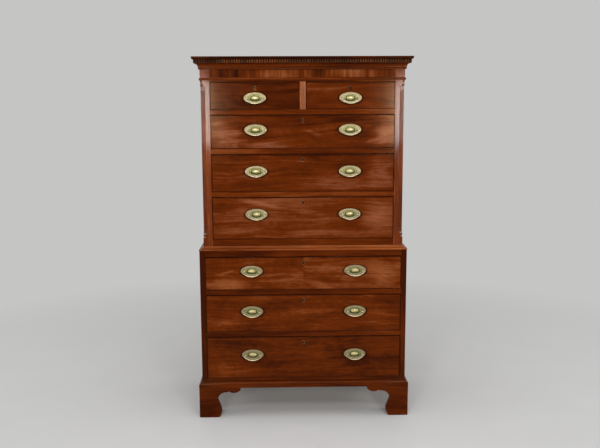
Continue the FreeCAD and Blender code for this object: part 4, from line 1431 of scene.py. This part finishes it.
# ------------------------------------------------------------------ drawers
@dataclass
class Drawer:
    """One drawer: veneered front with its cockbead, lining, lock and handles.

    Low and high are the corners of the front's box, front is the face's own place along Y, and key is the
    middle of the keyhole's eye. The other sizes are in mm: key_drop and eye_rise lead from the top of the
    front to that eye, and the keyhole is cut in as far as lock_face and through the lock to lock_reach.
    """

    name: str
    finish: Mahogany
    handles: tuple[str, ...]
    ringed: bool = True
    bead: float = 3.0
    bead_proud: float = 2.5
    bead_depth: float = 8.0
    thick: float = 20.0
    key_drop: float = 29.2
    eye_rise: float = 3.5
    lock_face: float = 9.0
    lock_reach: float = 14.0
    low: np.ndarray = field(init=False)
    high: np.ndarray = field(init=False)
    front: float = field(init=False)
    key: tuple[float, float, float] = field(init=False)

    def __post_init__(self) -> None:
        """Reads the drawer's place from its CAD nodes."""
        self.low, self.high = (np.array(v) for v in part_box(f"front_{self.name}"))
        self.front = float(self.low[1]) + self.bead_proud * MM
        bolt_low, bolt_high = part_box(f"bolt_{self.name}")
        self.key = ((bolt_low[0] + bolt_high[0]) / 2, self.front,
                    float(self.high[2]) - self.key_drop * MM + self.eye_rise * MM)

    @property
    def body(self) -> str:
        """The body that the drawer rides on."""
        return f"drawer_{self.name}"

    def board(self, keyhole: Escutcheon) -> Object:
        """Makes the front board, with the keyhole cut to its real outline.

        Args:
            keyhole: the keyhole's sizes.

        Returns:
            The piece.
        """
        mesh = self.keyed(copy_of(f"front_{self.name}", lambda i, n: i < n - BEADS), keyhole,
                          self.lock_face)
        smooth(mesh, CRISP)
        (x0, _, z0), (x1, _, z1) = self.low, self.high
        bead = self.bead * MM
        boxes = [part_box(node) for node in self.handles]
        plates = tuple(((low[0] + high[0]) / 2, high[2]) for low, high in boxes)
        # the front's finish paints shade inside the bead and a shadow round each plate
        finish = replace(self.finish, panel=(x0 + bead, x1 - bead, z0 + bead, z1 - bead), plates=plates)
        return piece(f"board_{self.name}", mesh, self.body, finish.build(),
                     (f"front_{self.name}",))

    def keyed(self, mesh: Mesh, keyhole: Escutcheon, depth: float) -> Mesh:
        """Cuts the keyhole.

        Args:
            mesh: the mesh that it is cut into.
            keyhole: its sizes.
            depth: how far it goes in from the face of the drawer, in mm.

        Returns:
            The cut mesh.
        """
        cutter = keyhole.cutter(depth)
        cutter.transform(Matrix.Translation(self.key))
        return carved(mesh, cutter)

    def cockbead(self, material: Material) -> Object:
        """Makes the bead: a half-round nosing carried round the edge of the front, mitred at its corners.

        Args:
            material: its finish.

        Returns:
            The piece.
        """
        nose = round_arc((self.bead / 2, -1.0), self.bead / 2, 180, 360, 11)
        depth = self.bead_depth - self.bead_proud
        profile = np.vstack([[[0.0, depth]], nose, [[self.bead, depth]]]) * MM
        (x0, _, z0), (x1, _, z1) = self.low, self.high
        corners = np.array([[x0, z0], [x1, z0], [x1, z1], [x0, z1]])
        inward = np.array([[1, 1], [-1, 1], [-1, -1], [1, -1]], float)
        plan = corners[:, None, :] + inward[:, None, :] * profile[None, :, :1]
        y = np.broadcast_to(self.front + profile[:, 1], plan.shape[:2])
        points = np.stack([plan[..., 0], y, plan[..., 1]], -1)
        wide, high = x1 - x0, z1 - z0
        along = np.array([0.0, wide, wide + high, 2 * wide + high, 2 * (wide + high)])
        uv = np.stack(np.meshgrid(along, run_of(profile), indexing="ij"), -1)
        name = f"cockbead_{self.name}"
        mesh = Shape().grid(points, close_rows=True, close_columns=True, uv=uv).closed_mesh(name, 40)
        return piece(name, mesh, self.body, material)

    def brass(self, handle: Handle, keyhole: Escutcheon, shapes: dict[str, Shape],
              wood: dict[str, Material]) -> None:
        """Makes the plates with their posts, bails, nuts, the escutcheon unless it is lost, and the lock.

        Args:
            handle: the handle's sizes.
            keyhole: the keyhole's sizes.
            shapes: the handle's shapes by name, each about its own middle.
            wood: the finishes.
        """
        plates, nuts = Shape(), Shape()
        for node in self.handles:
            low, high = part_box(node)
            x, y = (low[0] + high[0]) / 2, (low[1] + high[1]) / 2
            z = float(high[2]) - handle.flat * MM
            plates.merged(shapes["plate"], (x, self.front, z + handle.drop * MM))
            for post in (x - handle.spread * MM, x + handle.spread * MM):
                plates.merged(shapes["post"], (post, self.front, z))
                nuts.merged(shapes["nut"], (post, self.front + self.thick * MM, z))
            name = f"{node}_round"
            bail = Shape().merged(shapes["bail"], (x, y, z)).closed_mesh(name, 60)
            piece(name, bail, node, wood["bail_brass"], (node,))
        name = f"plates_{self.name}"
        piece(name, plates.closed_mesh(name, 50), self.body, wood["lacquered_brass"],
              (f"brass_{self.name}",))
        name = f"nuts_{self.name}"
        piece(name, nuts.closed_mesh(name, 30), self.body, wood["dull_iron"])
        if self.ringed:
            name = f"escutcheon_{self.name}"
            ring = Shape().merged(keyhole.shape(), self.key).closed_mesh(name, 50)
            piece(name, ring, self.body, wood["thread_brass"])
        case = self.keyed(copy_of(f"brass_{self.name}", lambda i, n: i == n - 1), keyhole,
                          self.lock_reach)
        smooth(case, 30)
        piece(f"lock_{self.name}", case, self.body, wood["lock_brass"])

    def build(self, handle: Handle, keyhole: Escutcheon, shapes: dict[str, Shape],
              wood: dict[str, Material]) -> None:
        """Makes every piece of the drawer.

        Args:
            handle, keyhole, shapes, wood: as for brass.
        """
        self.board(keyhole)
        self.cockbead(wood["bead_mahogany"])
        self.brass(handle, keyhole, shapes, wood)
        for node, name, body, finish, slot, width in (
                (f"box_{self.name}", f"lining_{self.name}", self.body, "oak_lining", "oak", 0.0008),
                (f"bolt_{self.name}", f"bolt_{self.name}_dressed", f"lock_bolt_{self.name}", "dull_iron",
                 "iron", 0.0005)):
            mesh = copy_of(node)
            smooth(mesh, CRISP)
            eased(piece(name, mesh, body, wood[finish], (node,)), width)


# ------------------------------------------------------------------ studio
@dataclass(frozen=True)
class Lamp:
    """A soft box: a rectangle of light, wide by high, that faces its aim."""

    name: str
    place: tuple[float, float, float]
    aim: tuple[float, float, float]
    wide: float
    high: float
    watts: float

    def build(self) -> Object:
        """Sets the lamp up.

        Returns:
            The lamp, which the camera doesn't see.
        """
        data = bpy.data.lights.new(self.name, "AREA")
        data.shape = "RECTANGLE"
        data.size, data.size_y = self.wide, self.high
        data.energy = self.watts
        made = placed(self.name, data)
        made.location = self.place
        made.rotation_mode = "QUATERNION"
        made.rotation_quaternion = (Vector(self.aim) - Vector(self.place)).to_track_quat("-Z", "Y")
        made.visible_camera = False
        return made


@dataclass
class Studio:
    """Pale floor, soft lights, a pale surround and the camera.

    Paleness is the share of the pale surround, over a quiet grey, in the light that it gives. The camera's
    place is in metres and its angles are in degrees.
    """

    floor: Colour = (0.66, 0.658, 0.65)
    quiet: Colour = (0.26, 0.26, 0.27)
    paleness: float = 0.5
    lens: float = 45.0
    eye: tuple[float, float, float] = (-0.0989, -4.0158, 1.5944)
    pitch: float = 8.688
    yaw: float = -1.253
    roll: float = -0.243
    lamps: tuple[Lamp, ...] = (
        Lamp("left_box", (-1.02, -3.9, 1.56), (0, -0.2, 1.2), 0.42, 0.62, 32.0),
        Lamp("right_box", (1.19, -3.9, 1.56), (0, -0.2, 1.2), 0.42, 0.62, 30.0),
        Lamp("high_box", (0.0, -3.9, 3.3), (0, -0.2, 1.0), 2.0, 0.8, 36.0),
        Lamp("top_box", (0.0, -1.2, 4.2), (0, 0.2, 0.4), 3.2, 2.4, 38.0),
        Lamp("left_rim", (-3.2, 0.1, 1.75), (0, -0.1, 1.2), 1.0, 0.9, 18.0),
        Lamp("right_rim", (3.2, 0.1, 1.75), (0, -0.1, 1.2), 1.0, 0.9, 20.0),
    )

    def camera(self) -> Object:
        """Sets up the camera: turned by yaw about Z, tipped down by pitch, and rolled about its own axis.

        Returns:
            The camera.
        """
        data = bpy.data.cameras.new("view")
        data.lens = self.lens
        data.sensor_width = 36.0
        data.clip_start, data.clip_end = 0.05, 200.0
        made = placed("view", data)
        turn = (Matrix.Rotation(math.radians(self.yaw), 4, "Z")
                @ Matrix.Rotation(math.radians(90 - self.pitch), 4, "X")
                @ Matrix.Rotation(math.radians(self.roll), 4, "Z"))
        made.matrix_world = Matrix.Translation(self.eye) @ turn
        bpy.context.scene.camera = made
        return made

    def ground(self) -> Object:
        """Lays a wide floor that fades into the surround far from the chest.

        Returns:
            The floor.
        """
        r = np.array([[0.001], [1.0], [2.0], [3.0], [4.5], [7.0], [12.0], [30.0]])
        turn = np.linspace(0, 2 * np.pi, 64, endpoint=False)
        points = np.stack([r * np.cos(turn), r * np.sin(turn), np.zeros((len(r), len(turn)))], -1)
        mesh = Shape().grid(points, close_columns=True).mesh("floor")
        made = placed("floor", mesh)
        paint = Paint("studio_floor")
        place = paint.place()
        mottle = paint.noise(place, (3.0, 3.0, 3.0), 4.0, 0.6)
        tint = paint.mix(paint.level(mottle, 0.3, 0.7), self.floor, tuple(c * 0.965 for c in self.floor))
        paint.finish(Base_Color=tint, Roughness=0.6, Specular_IOR_Level=0.3)
        fade = paint.level(paint.length(place), 0.9, 3.2)
        ray = paint.node("ShaderNodeLightPath")
        seen = paint.minus(1.0, ray.outputs["Is Diffuse Ray"])
        glow = paint.node("ShaderNodeEmission", Color=SURROUND, Strength=1.0)
        mixed = paint.node("ShaderNodeMixShader", Fac=paint.times(fade, seen))
        paint.put(mixed.inputs[1], paint.shader.outputs["BSDF"])
        paint.put(mixed.inputs[2], glow.outputs[0])
        paint.put(paint.output.inputs["Surface"], mixed.outputs[0])
        mesh.materials.append(paint.material)
        return made

    def surround(self) -> None:
        """Makes the world: pale where the camera or a reflection sees it, and halfway to grey as light."""
        world = bpy.data.worlds.new("surround")
        bpy.context.scene.world = world
        world.use_nodes = True
        tree = Tree(world.node_tree)
        ray = tree.node("ShaderNodeLightPath").outputs
        seen: Value = self.paleness
        for kind in ("Is Camera Ray", "Is Transmission Ray", "Is Glossy Ray"):
            seen = tree.math("MAXIMUM", ray[kind], seen)
        both = tree.node("ShaderNodeMixShader", Fac=seen)
        for socket, colour in zip(both.inputs[1:], (self.quiet, SURROUND)):
            tree.put(socket, tree.node("ShaderNodeBackground", Color=colour).outputs[0])
        tree.node("ShaderNodeOutputWorld", Surface=both.outputs[0])

    def build(self) -> None:
        """Sets the stage."""
        self.camera()
        self.ground()
        self.surround()
        for lamp in self.lamps:
            lamp.build()
        bpy.context.scene.view_settings.view_transform = "Standard"


def veneers() -> tuple[Mahogany, ...]:
    """Lists the veneers of the drawer fronts.

    Returns:
        A finish for each front, named after its drawer.
    """
    return (
        Mahogany("short_left", tone=-0.34, seed=11.0, blooms=(
            Bloom(-0.37, 1.63, 0.05, 0.02, 0.2, 0.6, 0.2),)),
        Mahogany("short_right", tone=-0.30, seed=13.7, light=(0.28, 0.095, 0.045), blooms=(
            Bloom(0.30, 1.70, 0.14, 0.03, 0.12),)),
        # the two broad light clouds at its ends are lighter figure and also a painted sheen of the side
        # lamps' reflection
        Mahogany("upper_2", tone=-0.20, figure=1.3, tilt=0.06, seed=17.2, light=(0.28, 0.093, 0.044), blooms=(
            Bloom(-0.24, 1.423, 0.24, 0.03, 0.28, 0.03, 0.1), Bloom(0.06, 1.475, 0.09, 0.02, 0.25, 0.3),
            Bloom(0.33, 1.51, 0.05, 0.015, 0.3, -0.3), Bloom(0.38, 1.45, 0.12, 0.05, 0.1, -0.5, 0.35),
            Bloom(-0.35, 1.52, 0.08, 0.03, -0.15), Bloom(0.18, 1.54, 0.12, 0.02, -0.15),
            Bloom(-0.39, 1.47, 0.15, 0.12, 0.75, 0.2, 0.1), Bloom(0.41, 1.47, 0.10, 0.10, 0.62))),
        Mahogany("upper_3", tone=-0.25, seed=19.9, light=(0.28, 0.097, 0.047), blooms=(
            Bloom(-0.38, 1.25, 0.09, 0.07, 0.10, 0.0, 0.1), Bloom(-0.19, 1.36, 0.12, 0.015, 0.25, 0.1),
            Bloom(0.06, 1.35, 0.10, 0.03, -0.12, 0.5, 0.2), Bloom(0.12, 1.24, 0.15, 0.05, 0.12, -0.2, 0.1),
            Bloom(0.41, 1.28, 0.13, 0.12, 0.60, 0.3, 0.15))),
        Mahogany("upper_4", tone=0.02, seed=23.1, clouding=1.0, light=(0.28, 0.085, 0.033), blooms=(
            Bloom(-0.20, 1.118, 0.17, 0.018, 0.35, 0.2), Bloom(0.04, 1.075, 0.12, 0.02, 0.2, 0.15),
            Bloom(-0.32, 0.985, 0.15, 0.03, 0.15), Bloom(0.0, 1.02, 0.2, 0.04, 0.1),
            Bloom(0.30, 1.05, 0.15, 0.05, 0.05, 0.1, 0.2), Bloom(-0.40, 1.10, 0.06, 0.04, -0.1),
            Bloom(0.38, 1.05, 0.14, 0.12, 0.38, 0.2, 0.15))),
        Mahogany("lower_1", tone=-0.07, figure=1.4, seed=29.4, joint=0.0, step=0.11, clouding=1.0,
                 light=(0.28, 0.080, 0.024), blooms=(
            Bloom(-0.392, 0.771, 0.075, 0.012, 0.30, -0.27), Bloom(-0.39, 0.70, 0.13, 0.06, 0.36),
            Bloom(-0.12, 0.74, 0.15, 0.05, 0.1), Bloom(0.09, 0.70, 0.10, 0.035, 0.3, 0.35, 0.25),
            Bloom(0.42, 0.75, 0.10, 0.09, 0.28, 0.5, 0.2))),
        Mahogany("lower_2", tone=-0.13, figure=1.5, seed=31.8, clouding=0.65, blooms=(
            Bloom(-0.40, 0.50, 0.16, 0.04, 0.20, 0.0, 0.1), Bloom(0.03, 0.54, 0.25, 0.07, 0.08, -0.3, 0.12),
            Bloom(-0.17, 0.60, 0.10, 0.03, -0.1), Bloom(0.40, 0.50, 0.14, 0.10, 0.24, 0.4, 0.1))),
        Mahogany("lower_3", tone=-0.22, figure=1.5, seed=37.5, clouding=0.65, blooms=(
            Bloom(-0.38, 0.271, 0.22, 0.06, 0.3, 0.0, 0.15), Bloom(0.27, 0.30, 0.2, 0.08, -0.25, 0.5, 0.2))),
    )


def main() -> None:
    """Builds the finishes, the case, the drawers and the studio, in that order."""
    logging.basicConfig(level=logging.INFO, format="%(message)s")
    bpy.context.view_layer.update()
    wood = finishes()
    Case().build(wood)
    handle = Handle()
    shapes = {"plate": handle.plate(), "post": handle.post(), "bail": handle.bail(), "nut": handle.nut()}
    for finish in veneers():
        name = finish.name
        places = ("",) if name.startswith("short") else ("_left", "_right")
        bails = tuple(f"bail_{name}{place}" for place in places)
        Drawer(name, finish, bails, ringed=name != "short_right").build(handle, Escutcheon(), shapes, wood)
    Studio().build()
    bpy.context.view_layer.update()


if __name__ == "__main__":
    main()
